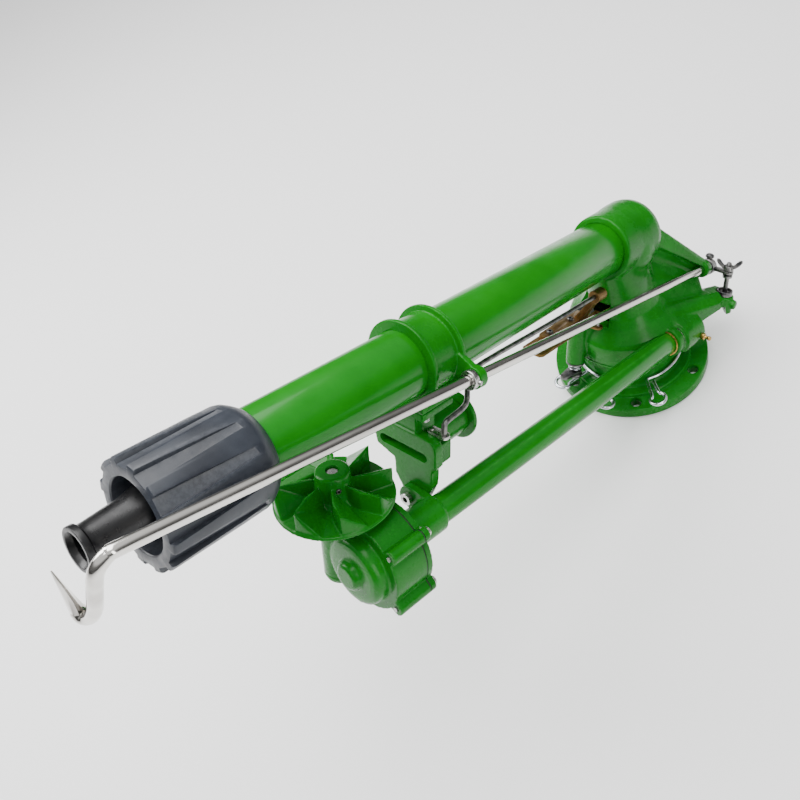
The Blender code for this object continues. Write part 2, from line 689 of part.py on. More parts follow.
def make_rear_arm():
    eye = rod_eye_frame()
    arm = rod("rear_eye", EYE_RADIUS, 0.0, EYE_LENGTH, eye, steps=20)
    root = BARREL @ Vector((0.020, -0.012, -0.034))
    web = [root + Vector((0, 0, 0.030)), root + Vector((0, 0.008, 0.030)), root + Vector((0, 0, -0.030)),
           root + Vector((0, 0.008, -0.030))]
    tip = [eye @ Vector((-0.004, 0.008, z)) for z in (0.002, 0.009)]
    tip += [eye @ Vector((-0.004, -0.008, z)) for z in (0.002, 0.009)]
    tip += [eye @ Vector((-0.012, y, z)) for y in (-0.006, 0.006) for z in (0.002, 0.009)]
    plate = hull("rear_web", web + tip, WORLD)
    rib = hull("rear_rib", [root + Vector((-0.004, y, z)) for y in (-0.012, 0.016) for z in (0.024, 0.030)]
               + [eye @ Vector((x, 0.0095, z)) for x in (-0.006, 0.002) for z in (0.000, 0.012)]
               + [eye @ Vector((x, 0.0045, z)) for x in (-0.006, 0.002) for z in (0.000, 0.012)], WORLD)
    join(arm, plate, rib)
    return arm


def make_cover():
    """Closing ring under the bell, in one with its four screws."""
    cover = ring("case_cover", PIVOT_TUBE_RADIUS + 2 * GAP, BELL_RADIUS, cover_low(), cover_top(), WORLD,
                 "green_paint", 32)
    cut(cover, rod("tunnel_notch", TUNNEL_RADIUS + GAP, -TUNNEL_DEPTH - TUNNEL_WALL - 0.01, 0.05, DRIVE,
                   steps=20))
    for i, (x, y) in enumerate(cover_screw_places()):
        join(cover, rod(f"cover_screw_{i}", SCREW_SHANK_RADIUS, cover_low() + 0.001, cover_top() + 0.008,
                        shifted(WORLD, x, y), steps=8))
        join(cover, rod(f"cover_screw_head_{i}", COVER_HEAD_RADIUS, cover_low() - COVER_HEAD_HEIGHT,
                        cover_low() + 0.001, shifted(WORLD, x, y), steps=8))


def make_barrel():
    ring("barrel", BARREL_RADIUS - BARREL_WALL, BARREL_RADIUS, BARREL_REAR, BARREL_FRONT, BARREL,
         "green_paint", 28)
    make_straightener()
    sleeve = BARREL_RADIUS + GAP + CLAMP_SLEEVE_WALL
    profile = [(CLAMP_FLANGE_RADIUS, CLAMP_FRONT), (CLAMP_FLANGE_RADIUS, CLAMP_FRONT - CLAMP_FLANGE_THICKNESS),
               (sleeve, CLAMP_FRONT - CLAMP_FLANGE_THICKNESS), (sleeve, CLAMP_REAR + CLAMP_FLANGE_THICKNESS),
               (CLAMP_FLANGE_RADIUS, CLAMP_REAR + CLAMP_FLANGE_THICKNESS), (CLAMP_FLANGE_RADIUS, CLAMP_REAR),
               (BARREL_RADIUS + GAP, CLAMP_REAR), (BARREL_RADIUS + GAP, CLAMP_FRONT)]
    clamp = turned("barrel_clamp", profile, BARREL, "green_paint", steps=28)
    pad = block("clamp_pad", (-PAD_HALF_WIDTH, pad_face(), CLAMP_REAR), (PAD_HALF_WIDTH, -sleeve + 0.004,
                CLAMP_FRONT), BARREL)
    eye = front_eye_frame()
    eye_ring = rod("front_eye", EYE_RADIUS, 0.0, EYE_LENGTH - 0.003, eye, steps=20)
    arm = hull("front_arm", [BARREL @ Vector((x, y, z)) for x in (0.026, 0.0335) for y in (-0.014, 0.008)
                             for z in (CLAMP_REAR, CLAMP_REAR + 0.006)]
               + [eye @ p for p in circle_points((0, 0, 0.001), EYE_RADIUS - 0.002)]
               + [eye @ p for p in circle_points((0, 0, 0.0075), EYE_RADIUS - 0.002)], WORLD)
    join(clamp, pad, arm, eye_ring)
    cut(clamp, rod("clamp_bore", BARREL_RADIUS + GAP, CLAMP_REAR - 0.01, CLAMP_FRONT + 0.01, BARREL, steps=28))
    cut(clamp, rod("front_eye_bore", ROD_RADIUS + GAP, -0.02, 0.04, eye, steps=16))
    for i, (x, z) in enumerate(bracket_bolt_places()):
        cut(clamp, rod(f"pad_tap_{i}", SCREW_SHANK_RADIUS + GAP, pad_face() - 0.01, pad_face() + 0.006,
                       shifted(UPRIGHT, x, -z), steps=10))
    sturdy(clamp)


def pad_face():
    """Height of the clamp pad's underside in the barrel's frame."""
    return -(BARREL_RADIUS + CLAMP_SLEEVE_WALL + PAD_THICKNESS)


def bracket_bolt_places():
    return [(x, CLAMP_FRONT - 0.0085) for x in (-BRACKET_BOLT_OFFSET, BRACKET_BOLT_OFFSET)]


def front_eye_frame():
    """On the rod's axis at the back face of the clamp's eye."""
    rear = BARREL.inverted() @ ROD.translation
    slope = (BARREL.inverted().to_3x3() @ ROD.col[2].to_3d()).normalized()
    along = (CLAMP_REAR - 0.001 - rear.z) / slope.z
    return shifted(ROD, z=along)


def make_straightener():
    """Crossed vanes inside the barrel, carried by a thin ring."""
    inner = BARREL_RADIUS - BARREL_WALL - GAP
    carrier = ring("flow_straightener", inner - 0.0015, inner, VANE_REAR, VANE_REAR + VANE_LENGTH, BARREL,
                   "grey_plastic", 24)
    for i in range(VANE_COUNT // 2):
        frame = turned_about(BARREL, i * math.pi / (VANE_COUNT // 2), "Z")
        join(carrier, block(f"vane_{i}", (-inner + 0.0008, -VANE_THICKNESS / 2, VANE_REAR + 0.001),
                            (inner - 0.0008, VANE_THICKNESS / 2, VANE_REAR + VANE_LENGTH - 0.001), frame))


def make_nozzle():
    """Ribbed nut on the barrel's end, with the tapered nozzle and its seal clamped inside."""
    bore = BARREL_RADIUS + GAP
    inside = bore + 0.0022
    seal_front = BARREL_FRONT + GAP + 0.003
    flange_front = seal_front + GAP + NOZZLE_FLANGE_THICKNESS
    lip = flange_front + GAP
    profile = [(NUT_MOUTH_RADIUS, NUT_FRONT), (NUT_RADIUS - 0.0016, NUT_FRONT), (NUT_RADIUS, NUT_FRONT - 0.002),
               (NUT_RADIUS, NUT_SHOULDER), (NUT_RADIUS - 0.0012, NUT_SHOULDER - 0.004),
               (NUT_RADIUS - 0.0045, NUT_SHOULDER - 0.008), (NUT_RADIUS - 0.0085, NUT_REAR), (bore, NUT_REAR),
               (bore, BARREL_FRONT), (inside, BARREL_FRONT), (inside, lip), (NUT_MOUTH_RADIUS, lip)]
    nut = turned("nozzle_nut", profile, BARREL, "grey_plastic", steps=28)
    for i in range(NUT_RIB_COUNT):
        frame = turned_about(BARREL, (i + 0.5) * 2 * math.pi / NUT_RIB_COUNT, "Z")
        floor = NUT_RADIUS - NUT_GROOVE_DEPTH
        groove = block(f"nut_groove_{i}", (floor, -NUT_GROOVE_WIDTH / 2, NUT_SHOULDER + 0.002),
                       (NUT_RADIUS + 0.004, NUT_GROOVE_WIDTH / 2, NUT_FRONT + 0.004), frame)
        cut(nut, groove)
    ring("nozzle_seal", NOZZLE_ROOT_RADIUS, bore + 0.0016, BARREL_FRONT + GAP, seal_front, BARREL, "rubber", 24)
    thin = NOZZLE_LIP_RADIUS
    shape = [(thin, NOZZLE_FRONT), (thin, NOZZLE_FRONT - NOZZLE_LIP_LENGTH),
             (NOZZLE_TIP_RADIUS, NOZZLE_FRONT - NOZZLE_LIP_LENGTH - 0.001),
             (NOZZLE_TIP_RADIUS + 0.002, 0.605), (NOZZLE_ROOT_RADIUS, flange_front + 0.003),
             (NOZZLE_ROOT_RADIUS, flange_front), (bore + 0.0016, flange_front), (bore + 0.0016, seal_front + GAP),
             (NOZZLE_ROOT_RADIUS - 0.0025, seal_front + GAP), (NOZZLE_BORE_RADIUS + 0.001, 0.610),
             (NOZZLE_BORE_RADIUS, NOZZLE_FRONT - 0.004), (NOZZLE_BORE_RADIUS + 0.0025, NOZZLE_FRONT)]
    turned("nozzle", shape, BARREL, "black_plastic", steps=24)


def make_bracket():
    """Hanger under the clamp: pad, neck, slotted chamber, drum behind and stem down to the gear case."""
    face = BRACKET_FACE
    back = face - BRACKET_THICKNESS
    pad_top = pad_face() - GAP
    bracket = block("jet_bracket", (-PAD_HALF_WIDTH, pad_top - 0.007, CLAMP_REAR), (PAD_HALF_WIDTH, pad_top,
                    CLAMP_FRONT), BARREL, "green_paint")
    join(bracket, block("bracket_neck", (-NECK_HALF_WIDTH, BAR_TOP - 0.004, CLAMP_REAR + 0.012),
                        (NECK_HALF_WIDTH, pad_top - 0.004, face - 0.002), BARREL))
    corner = 0.010
    plate = arc_points((BAR_HALF_WIDTH - corner, BAR_TOP - corner), corner, 90.0, 0.0, 4)
    plate += [(BAR_HALF_WIDTH, BAR_BOTTOM + 0.006), (BAR_HALF_WIDTH - 0.004, BAR_BOTTOM)]
    plate += [(0.033, -0.115)]
    plate += arc_points((STEM_FOOT.x, STEM_FOOT.y), STEM_RADIUS, -20.0, -165.0, 8)
    plate += [(-0.010, -0.118), (-0.011, BAR_BOTTOM - 0.004)]
    plate += [(-BAR_HALF_WIDTH + 0.006, BAR_BOTTOM + 0.003)]
    plate += arc_points((-BAR_HALF_WIDTH + corner, BAR_TOP - corner), corner, 180.0, 90.0, 4)
    join(bracket, outline("bracket_plate", plate, back, face, BARREL))
    chamber_back = face - CHAMBER_DEPTH - CHAMBER_WALL
    join(bracket, block("chamber", (-SLOT_HALF_LENGTH - CHAMBER_WALL, SLOT_CENTRE - 0.0105, chamber_back),
                        (SLOT_HALF_LENGTH + CHAMBER_WALL, SLOT_CENTRE + 0.0105, face - 0.001), BARREL))
    drum = shifted(BARREL, y=SLOT_CENTRE - 0.002)
    join(bracket, rod("drum", DRUM_RADIUS, DRUM_REAR, face - CHAMBER_DEPTH - 0.001, drum, steps=28))
    slot = slot_outline(SLOT_HALF_LENGTH, SLOT_HEIGHT / 2, SLOT_CENTRE)
    cut(bracket, outline("slot", slot, face - CHAMBER_DEPTH, face + 0.01, BARREL))
    cut(bracket, rod("drum_bore", DRUM_BORE, DRUM_REAR - 0.01, face - CHAMBER_DEPTH - CHAMBER_WALL - 0.001,
                     drum, steps=20))
    pivot = shifted(UPRIGHT, DEFLECTOR_PIVOT.x, -DEFLECTOR_PIVOT.z)
    cut(bracket, rod("deflector_bore", DEFLECTOR_PIN_RADIUS + GAP, SLOT_CENTRE, BAR_TOP + 0.01, pivot, steps=12))
    for i, (x, z) in enumerate(bracket_bolt_places()):
        cut(bracket, rod(f"bracket_hole_{i}", SCREW_SHANK_RADIUS + GAP, pad_top - 0.02, pad_top + 0.01,
                         shifted(UPRIGHT, x, -z), steps=10))
    cut(bracket, rod("stem_hole", 0.0031, -0.03, 0.04, foot_frame(), steps=12))
    for name, (x, z) in zip(("bracket_bolt_left", "bracket_bolt_right"), bracket_bolt_places()):
        screw(name, x, z, -(pad_top - 0.007), turned_about(UPRIGHT, math.pi, "X"), "polished_steel",
              head=0.0045, head_height=0.004, reach=0.0115)
    stop = DRUM_REAR - GAP
    turned("drum_cap", [(0.0, DRUM_REAR + 0.008), (DRUM_BORE - GAP, DRUM_REAR + 0.008), (DRUM_BORE - GAP, stop),
                        (DRUM_CAP_RADIUS, stop), (DRUM_CAP_RADIUS, stop - DRUM_CAP_THICKNESS),
                        (0.0, stop - DRUM_CAP_THICKNESS)], drum, "green_paint", steps=28, closed=False)
    sturdy(bracket)
    make_deflector(pivot)


def arc_points(centre, radius, start, end, count):
    made = []
    for i in range(count + 1):
        angle = math.radians(start + (end - start) * i / count)
        made.append((centre[0] + radius * math.cos(angle), centre[1] + radius * math.sin(angle)))
    return made


def slot_outline(half_length, radius, centre):
    made = arc_points((half_length - radius, centre), radius, -90.0, 90.0, 6)
    return made + arc_points((-half_length + radius, centre), radius, 90.0, 270.0, 6)


def make_deflector(pivot):
    """Blade in the slot on an upright pin, with the crank that the shift rod turns."""
    crank_low = BAR_TOP + GAP
    deflector = rod("deflector", DEFLECTOR_PIN_RADIUS, SLOT_CENTRE - 0.0035, crank_low + 0.004, pivot,
                    "polished_steel", steps=12)
    blade = block("blade", (-BLADE_LENGTH, -0.0010, SLOT_CENTRE - 0.0032), (0.0, 0.0010, SLOT_CENTRE + 0.0032),
                  pivot)
    crank = arc_points((0.0, 0.0), 0.0045, 90.0, 270.0, 6) + arc_points((CRANK_ARM, 0.0), 0.0050, -90.0, 90.0, 6)
    join(deflector, blade, outline("crank", crank, crank_low, crank_low + 0.003, pivot))
    sturdy(deflector)
    cut(deflector, rod("crank_eye", SHIFT_ROD_RADIUS + 0.0010, crank_low - 0.01, crank_low + 0.01,
                       shifted(pivot, x=CRANK_ARM), steps=12))


def case_outline(radius, lug_radius, count=32):
    """The gear case's lobed outline: its round body and one lobe round each screw."""
    made = []
    for i in range(count):
        angle = 2 * math.pi * i / count
        reach = radius
        for x, y in lug_places():
            along = x * math.cos(angle) + y * math.sin(angle)
            off = abs(-x * math.sin(angle) + y * math.cos(angle))
            if along > 0 and off < lug_radius:
                reach = max(reach, along + math.sqrt(lug_radius ** 2 - off ** 2))
        made.append(polar(reach, angle))
    return made


def foot_frame():
    """On the bracket's foot screw where the gear case's wing rests on the stem, Z forward."""
    return shifted(BARREL, STEM_FOOT.x, STEM_FOOT.y, BRACKET_FACE + GAP)


def lug_places():
    """Screw places round the gear case, in the drive line's frame."""
    return [polar(CASE_LUG_CIRCLE, math.radians(angle)) for angle in CASE_LUG_ANGLES]


def make_gear_case():
    """Rear cover with the tube socket, lobed housing, gasket, screws and bottom plug."""
    cover_front = CASE_BACK + CASE_COVER_THICKNESS
    seam = cover_front + GAP
    gasket_front = seam + GASKET_THICKNESS
    body_back = gasket_front + GAP
    bore = DRIVE_TUBE_RADIUS + GAP
    socket_rear = CASE_BACK - SOCKET_LENGTH
    rear = outline("gear_case_rear", case_outline(CASE_RADIUS, CASE_LUG_RADIUS), CASE_BACK, cover_front, DRIVE,
                   "green_paint")
    join(rear, rod("tube_socket", bore + SOCKET_WALL, socket_rear, CASE_BACK + 0.002, DRIVE, steps=28))
    foot = foot_frame()
    on_line = BARREL.inverted() @ (DRIVE @ Vector((0.0, 0.0, socket_rear + WING_THICKNESS)))
    hub_x, hub_y = on_line.x - STEM_FOOT.x, on_line.y - STEM_FOOT.y
    wing = []
    for z in (0.0, WING_THICKNESS):
        wing += circle_points((0.0, 0.0, z), STEM_RADIUS - 0.0015, count=16)
        wing += circle_points((hub_x, hub_y, z), bore + 0.001, count=16)
    join(rear, hull("case_wing", wing, foot))
    cut(rear, turned("socket_bore", [(0.0, cover_front + 0.01), (SHAFT_BUSH_RADIUS + GAP, cover_front + 0.01),
                                     (SHAFT_BUSH_RADIUS + GAP, CASE_BACK + 0.0005), (bore, CASE_BACK + 0.0005),
                                     (bore, socket_rear - 0.02), (0.0, socket_rear - 0.02)], DRIVE, steps=28,
                     closed=False))
    cut(rear, rod("wing_hole", 0.0031, -0.01, WING_THICKNESS + 0.01, foot, steps=12))
    front = outline("gear_case_front", case_outline(CASE_RADIUS, CASE_LUG_RADIUS), body_back, CASE_FACE, DRIVE,
                    "green_paint")
    nose_end = DRUM_FACE + CASE_NOSE_LENGTH
    join(front, turned("case_drum", [
        (0.0, nose_end), (CASE_NOSE_RADIUS - 0.0025, nose_end), (CASE_NOSE_RADIUS, nose_end - 0.0025),
        (CASE_NOSE_RADIUS + 0.001, DRUM_FACE + 0.0005), (CASE_DRUM_RADIUS - 0.008, DRUM_FACE),
        (CASE_DRUM_RADIUS - 0.003, DRUM_FACE - 0.0015), (CASE_DRUM_RADIUS, DRUM_FACE - 0.006),
        (CASE_DRUM_RADIUS + 0.0015, CASE_FACE - 0.003), (0.0, CASE_FACE - 0.003)], DRIVE, steps=24,
        closed=False))
    join(front, turned("worm_boss", [(0.0, WORM_BOSS_TOP), (0.0115, WORM_BOSS_TOP), (0.0135, 0.028),
                                     (WORM_BOSS_RADIUS, 0.020), (WORM_BOSS_RADIUS, WORM_BOSS_BOTTOM),
                                     (0.0, WORM_BOSS_BOTTOM)], TURBINE, steps=24, closed=False))
    cut(front, rod("plug_seat", WORM_BOSS_RADIUS + GAP, WORM_BOSS_BOTTOM - 0.03, WORM_BOSS_BOTTOM, TURBINE,
                   steps=24))
    cut(front, turned("wheel_space", [(0.0, CASE_CAVITY_FRONT), (CASE_CAVITY_RADIUS, CASE_CAVITY_FRONT),
                                      (CASE_CAVITY_RADIUS, body_back - 0.01), (0.0, body_back - 0.01)], DRIVE,
                      steps=20, closed=False))
    cut(front, rod("nose_bore", SHAFT_BUSH_RADIUS + GAP, CASE_CAVITY_FRONT - 0.01, nose_end - 0.003, DRIVE,
                   steps=16))
    cut(front, turned("boss_bore", [(0.0, WORM_BOSS_TOP + 0.01), (0.0085, WORM_BOSS_TOP + 0.01), (0.0085, 0.014),
                                    (WORM_BOSS_BORE, 0.014), (WORM_BOSS_BORE, WORM_BOSS_BOTTOM - 0.01),
                                    (0.0, WORM_BOSS_BOTTOM - 0.01)], TURBINE, steps=20, closed=False))
    gasket = outline("case_gasket", case_outline(CASE_RADIUS - 0.0006, CASE_LUG_RADIUS - 0.0006), seam,
                     gasket_front, DRIVE, "rubber")
    cut(gasket, rod("gasket_bore", CASE_CAVITY_RADIUS, CASE_BACK, CASE_FACE, DRIVE, steps=20))
    upside_down = turned_about(DRIVE, math.pi, "X")
    for i, (x, y) in enumerate(lug_places()):
        bar = rod(f"case_hole_{i}", SCREW_SHANK_RADIUS + GAP, CASE_BACK - 0.01, CASE_FACE + 0.01,
                  shifted(DRIVE, x, y), steps=10)
        for item in (rear, front, gasket):
            cut(item, bar)
        screw(f"gear_case_screw_{i + 1}", x, -y, -CASE_BACK, upside_down, "polished_steel",
              reach=CASE_FACE - CASE_BACK + 0.0012)
    screw("bracket_screw", 0.0, 0.0, WING_THICKNESS, foot, "polished_steel", head=0.0058, shank=0.0028,
          head_height=0.0045, reach=WING_THICKNESS + BRACKET_THICKNESS)
    low = WORM_BOSS_BOTTOM - GAP
    turned("bottom_plug", [(0.0, WORM_BOSS_BOTTOM + 0.006), (WORM_BOSS_BORE - GAP, WORM_BOSS_BOTTOM + 0.006),
                           (WORM_BOSS_BORE - GAP, low), (WORM_BOSS_RADIUS, low),
                           (WORM_BOSS_RADIUS, low - 0.005), (WORM_BOSS_RADIUS - 0.003, low - 0.007),
                           (0.0, low - 0.007)], TURBINE, "green_paint", steps=24, closed=False)
    sturdy(front)
    sturdy(rear)


def make_turbine():
    """Turbine wheel on its upright shaft, whose worm turns the wheel on the drive shaft."""
    top = TURBINE_HUB_TOP
    plate = TURBINE_PLATE_HEIGHT
    rim = TURBINE_RADIUS
    wheel = turned("turbine_wheel", [
        (0.0, top), (TURBINE_HUB_RADIUS - 0.001, top), (TURBINE_HUB_RADIUS, top - 0.002),
        (TURBINE_HUB_RADIUS + 0.0015, plate + 0.006), (TURBINE_HUB_RADIUS + 0.004, plate + TURBINE_PLATE_THICKNESS),
        (rim - 0.001, plate + TURBINE_PLATE_THICKNESS), (rim, plate + 0.0015), (rim, plate),
        (TURBINE_HUB_RADIUS + 0.002, plate), (TURBINE_HUB_RADIUS, plate - 0.003), (0.0, plate - 0.003)],
        TURBINE, "green_paint", steps=24, closed=False)
    for i in range(TURBINE_VANE_COUNT):
        frame = turned_about(TURBINE, i * 2 * math.pi / TURBINE_VANE_COUNT, "Z")
        join(wheel, turbine_vane(f"turbine_vane_{i}", frame))
    cut(wheel, rod("hub_bore", TURBINE_SHAFT_RADIUS + GAP, plate - 0.02, top + 0.01, TURBINE, steps=16))
    hub_side = turned_about(shifted(TURBINE, z=top - 0.011), math.pi / 2, "Y")
    hub_side = turned_about(hub_side, math.radians(22.5), "X")
    cut(wheel, rod("hub_tap", SCREW_SHANK_RADIUS + GAP, TURBINE_SHAFT_RADIUS - 0.002, TURBINE_HUB_RADIUS + 0.01,
                   hub_side, steps=10))
    rod("hub_screw", SCREW_SHANK_RADIUS, TURBINE_SHAFT_RADIUS + GAP, TURBINE_HUB_RADIUS + 0.0015, hub_side,
        "dark_steel", steps=10)
    shaft = turned("turbine_shaft", [
        (0.0, top - 0.002), (TURBINE_SHAFT_RADIUS - 0.0008, top - 0.002), (TURBINE_SHAFT_RADIUS, top - 0.003),
        (TURBINE_SHAFT_RADIUS, 0.0135), (TURBINE_WORM_RADIUS, 0.0125), (TURBINE_WORM_RADIUS, -0.0115),
        (TURBINE_SHAFT_RADIUS, -0.0125), (TURBINE_SHAFT_RADIUS, WORM_BOSS_BOTTOM + 0.006 + GAP),
        (0.0, WORM_BOSS_BOTTOM + 0.006 + GAP)],
        TURBINE, "polished_steel", steps=18, closed=False)
    lead = 2 * math.pi * WHEEL_PITCH_RADIUS / WHEEL_TEETH
    join(shaft, thread("turbine_worm", TURBINE_PITCH_RADIUS, lead, TURBINE_WORM_LENGTH, 0.0, TURBINE))
    ring("turbine_bush", TURBINE_SHAFT_RADIUS + GAP, 0.0085 - GAP, 0.016, WORM_BOSS_TOP - 0.001, TURBINE,
         "bronze", 16)


def turbine_vane(name, frame):
    """One curved vane, swept back from the hub to the rim."""
    low = TURBINE_PLATE_HEIGHT + TURBINE_PLATE_THICKNESS - 0.001
    high = TURBINE_PLATE_HEIGHT + TURBINE_PLATE_THICKNESS + TURBINE_VANE_HEIGHT
    inner, outer = TURBINE_HUB_RADIUS - 0.001, TURBINE_RADIUS - 0.0015
    steps = 4
    sides = []
    for side in (-1, 1):
        row = []
        for i in range(steps + 1):
            share = i / steps
            radius = inner + (outer - inner) * share
            bend = math.radians(18.0) * share * share
            half = side * TURBINE_VANE_THICKNESS / 2 / radius
            row.append(polar(radius, bend + half))
        sides.append(row)
    return outline(name, sides[0] + sides[1][::-1], low, high, frame)


def make_drive():
    """Drive tube, the long shaft in it, the worm wheel at its front and the worm at its rear."""
    ring("drive_tube", DRIVE_TUBE_RADIUS - DRIVE_TUBE_WALL, DRIVE_TUBE_RADIUS, TUBE_REAR, CASE_BACK + 0.0002,
         DRIVE, "green_paint", 28)
    nose_end = DRUM_FACE + CASE_NOSE_LENGTH - 0.003
    shaft = rod("drive_shaft", DRIVE_SHAFT_RADIUS, -TUNNEL_DEPTH + 0.001, nose_end - 0.001, DRIVE,
                "polished_steel", 16)
    worm_low = BASE_WORM_CENTRE - BASE_WORM_LENGTH / 2
    worm_high = BASE_WORM_CENTRE + BASE_WORM_LENGTH / 2
    worm = ring("base_worm", DRIVE_SHAFT_RADIUS + GAP, BASE_WORM_RADIUS, worm_low, worm_high, DRIVE,
                "polished_steel", 18)
    inward = -Vector((DRIVE.translation.x, DRIVE.translation.y, 0.0))
    local = DRIVE.to_3x3().inverted() @ inward
    phase = math.atan2(local.y, local.x)
    join(worm, thread("base_thread", BASE_RIDGE_RADIUS, base_lead(), BASE_WORM_LENGTH - 0.004, phase,
                      shifted(DRIVE, z=BASE_WORM_CENTRE)))
    cut(worm, rod("base_worm_bore", DRIVE_SHAFT_RADIUS + GAP, worm_low - 0.01, worm_high + 0.01, DRIVE,
                  steps=18))
    wheel_frame = turned_about(shifted(DRIVE, z=TURBINE_STATION), math.pi + math.pi / WHEEL_TEETH, "Z")
    worm_lead = 2 * math.pi * WHEEL_PITCH_RADIUS / WHEEL_TEETH
    lead_angle = math.atan(worm_lead / (2 * math.pi * TURBINE_PITCH_RADIUS))
    twist = math.tan(lead_angle) * WHEEL_WIDTH / WHEEL_PITCH_RADIUS
    wheel = gear("worm_wheel", WHEEL_TEETH, WHEEL_PITCH_RADIUS, DRIVE_SHAFT_RADIUS + GAP, WHEEL_WIDTH, twist,
                 wheel_frame, "bronze")
    join(wheel, ring("wheel_hub", DRIVE_SHAFT_RADIUS + GAP, 0.0100, -0.013, WHEEL_WIDTH / 2 - 0.001, wheel_frame,
                     steps=20))
    ring("cover_bush", DRIVE_SHAFT_RADIUS + GAP, SHAFT_BUSH_RADIUS, CASE_BACK + 0.0008,
         CASE_BACK + CASE_COVER_THICKNESS, DRIVE, "bronze", 16)
    ring("nose_bush", DRIVE_SHAFT_RADIUS + GAP, SHAFT_BUSH_RADIUS, CASE_CAVITY_FRONT, nose_end - GAP, DRIVE,
         "bronze", 16)
    ring("tunnel_bush", DRIVE_SHAFT_RADIUS + GAP, TUNNEL_BUSH_RADIUS, -TUNNEL_DEPTH + GAP,
         TUNNEL_STEP - GAP, DRIVE, "bronze", 16)
    ring("tunnel_ring", DRIVE_TUBE_RADIUS + GAP, DRIVE_TUBE_RADIUS + TUNNEL_RING_WALL, TUNNEL_COLLAR_LENGTH + GAP,
         TUNNEL_COLLAR_LENGTH + 0.0028, DRIVE, "brass", 24)


def nipple(name, frame):
    """A grease nipple standing on Z."""
    shape = [(0.0, 0.0125), (0.0016, 0.0125), (0.0027, 0.0108), (0.0027, 0.0090), (0.0018, 0.0078),
             (0.0020, 0.0050), (0.0042, 0.0045), (0.0042, GAP), (0.0, GAP)]
    return turned(name, shape, frame, "brass", steps=10, closed=False)


def make_fittings():
    """Grease nipples."""
    boss_side = turned_about(shifted(TURBINE, z=-0.006), math.radians(-90.0), "Y")
    nipple("front_grease_nipple", turned_about(shifted(boss_side, z=WORM_BOSS_RADIUS), math.radians(0.0), "X"))
    side = turned_about(shifted(DRIVE, z=-0.028), math.pi / 2, "Y")
    nipple("rear_grease_nipple", shifted(side, z=TUNNEL_RADIUS))


def stop_wire(name, angles, height, lift, finish):
    """One bent wire: finger loop, long way round the neck, finger loop."""
    start, end = angles
    points = loop_points(start, height, lift, 1 if end > start else -1)
    count = max(8, int(abs(end - start) / math.radians(11.0)))
    for i in range(count + 1):
        angle = start + (end - start) * i / count
        x, y = polar(STOP_RING_RADIUS, angle)
        points.append((x, y, height))
    points += loop_points(end, height, lift, -1 if end > start else 1)[::-1]
    return tube_along(name, points, WIRE_RADIUS, WORLD, finish, resolution=1)


def loop_points(angle, height, lift, side):
    """A pear-shaped finger loop that stands out from the ring and ends beside its own start."""
    radial = Vector((math.cos(angle), math.sin(angle), 0.0))
    across = Vector((-radial.y, radial.x, 0.0)) * side
    centre = radial * STOP_LOOP_CENTRE
    made = []
    turns = 9
    for i in range(turns + 1):
        sweep = math.radians(-150.0 + 300.0 * i / turns)
        spot = centre + radial * STOP_LOOP_RADIUS * math.cos(sweep) + across * STOP_LOOP_RADIUS * -math.sin(sweep)
        made.append(spot)
    tail = radial * (STOP_RING_RADIUS + 0.010) + across * 0.0045
    neck = radial * (STOP_RING_RADIUS + 0.006) - across * 0.0015
    made = [tail] + made + [neck]
    total = len(made) - 1
    lifted = []
    for i, spot in enumerate(made):
        outward = (spot.length - STOP_RING_RADIUS) / (STOP_LOOP_CENTRE - STOP_RING_RADIUS)
        extra = 0.0048 * (1.0 - i / total)
        lifted.append((spot.x, spot.y, height + lift * outward + extra))
    return lifted


def make_stops():
    stop_wire("stop_clip_a", STOP_A_ANGLES, STOP_A_HEIGHT, 0.003, "zinc_wire")
    stop_wire("stop_clip_b", STOP_B_ANGLES, STOP_B_HEIGHT, 0.003, "zinc_wire")


def make_trip():
    """Trip pin with its finger below, spring and washers on it, and the crank on top."""
    post = shifted(UPRIGHT, TRIP_PIVOT.x, -TRIP_PIVOT.z)
    bottom = TRIP_POST_BOTTOM
    washer_high = bottom - GAP
    washer_low = washer_high - 0.002
    spring_low = washer_low - 0.0090
    finger_high = spring_low
    finger_low = finger_high - 0.004
    spindle = turned("trip_spindle", [
        (0.0, PLATE_TOP + 0.002), (TRIP_PIN_RADIUS, PLATE_TOP + 0.002), (TRIP_PIN_RADIUS, finger_low),
        (0.0095, finger_low), (0.0095, finger_low - 0.0045), (0.0, finger_low - 0.0045)],
        post, "dark_steel", steps=14, closed=False)
    finger = arc_points((0.0, 0.0), 0.0085, 0.0, 180.0, 8) + arc_points((-0.0015, -0.020), 0.0050, 180.0, 360.0, 6)
    join(spindle, outline("finger", finger, finger_low - 0.0005, finger_high, post))
    ring("trip_washer", TRIP_PIN_RADIUS + GAP, 0.0110, washer_low, washer_high, post, "dark_steel", 16)
    make_trip_spring(post, spring_low, washer_low)
    crank_high = TRIP_POST_TOP + 0.0035
    crank = arc_points((0.0, 0.0), 0.0080, 180.0, 360.0, 8) + arc_points((0.0, TRIP_CRANK_RADIUS), 0.0055, 0.0,
                                                                         180.0, 6)
    plate = outline("crank_plate", crank, TRIP_POST_TOP + GAP, crank_high, turned_about(post, -math.pi / 2, "Z"),
                    "yellow_zinc")
    cut(plate, rod("crank_bore", TRIP_PIN_RADIUS + GAP, TRIP_POST_TOP - 0.01, crank_high + 0.01, post, steps=12))
    crank_pin = shifted(turned_about(post, -math.pi / 2, "Z"), y=TRIP_CRANK_RADIUS)
    join(plate, rod("crank_pin", 0.0025, TRIP_POST_TOP + 0.001, PLATE_TOP + 0.0005, crank_pin, steps=10))


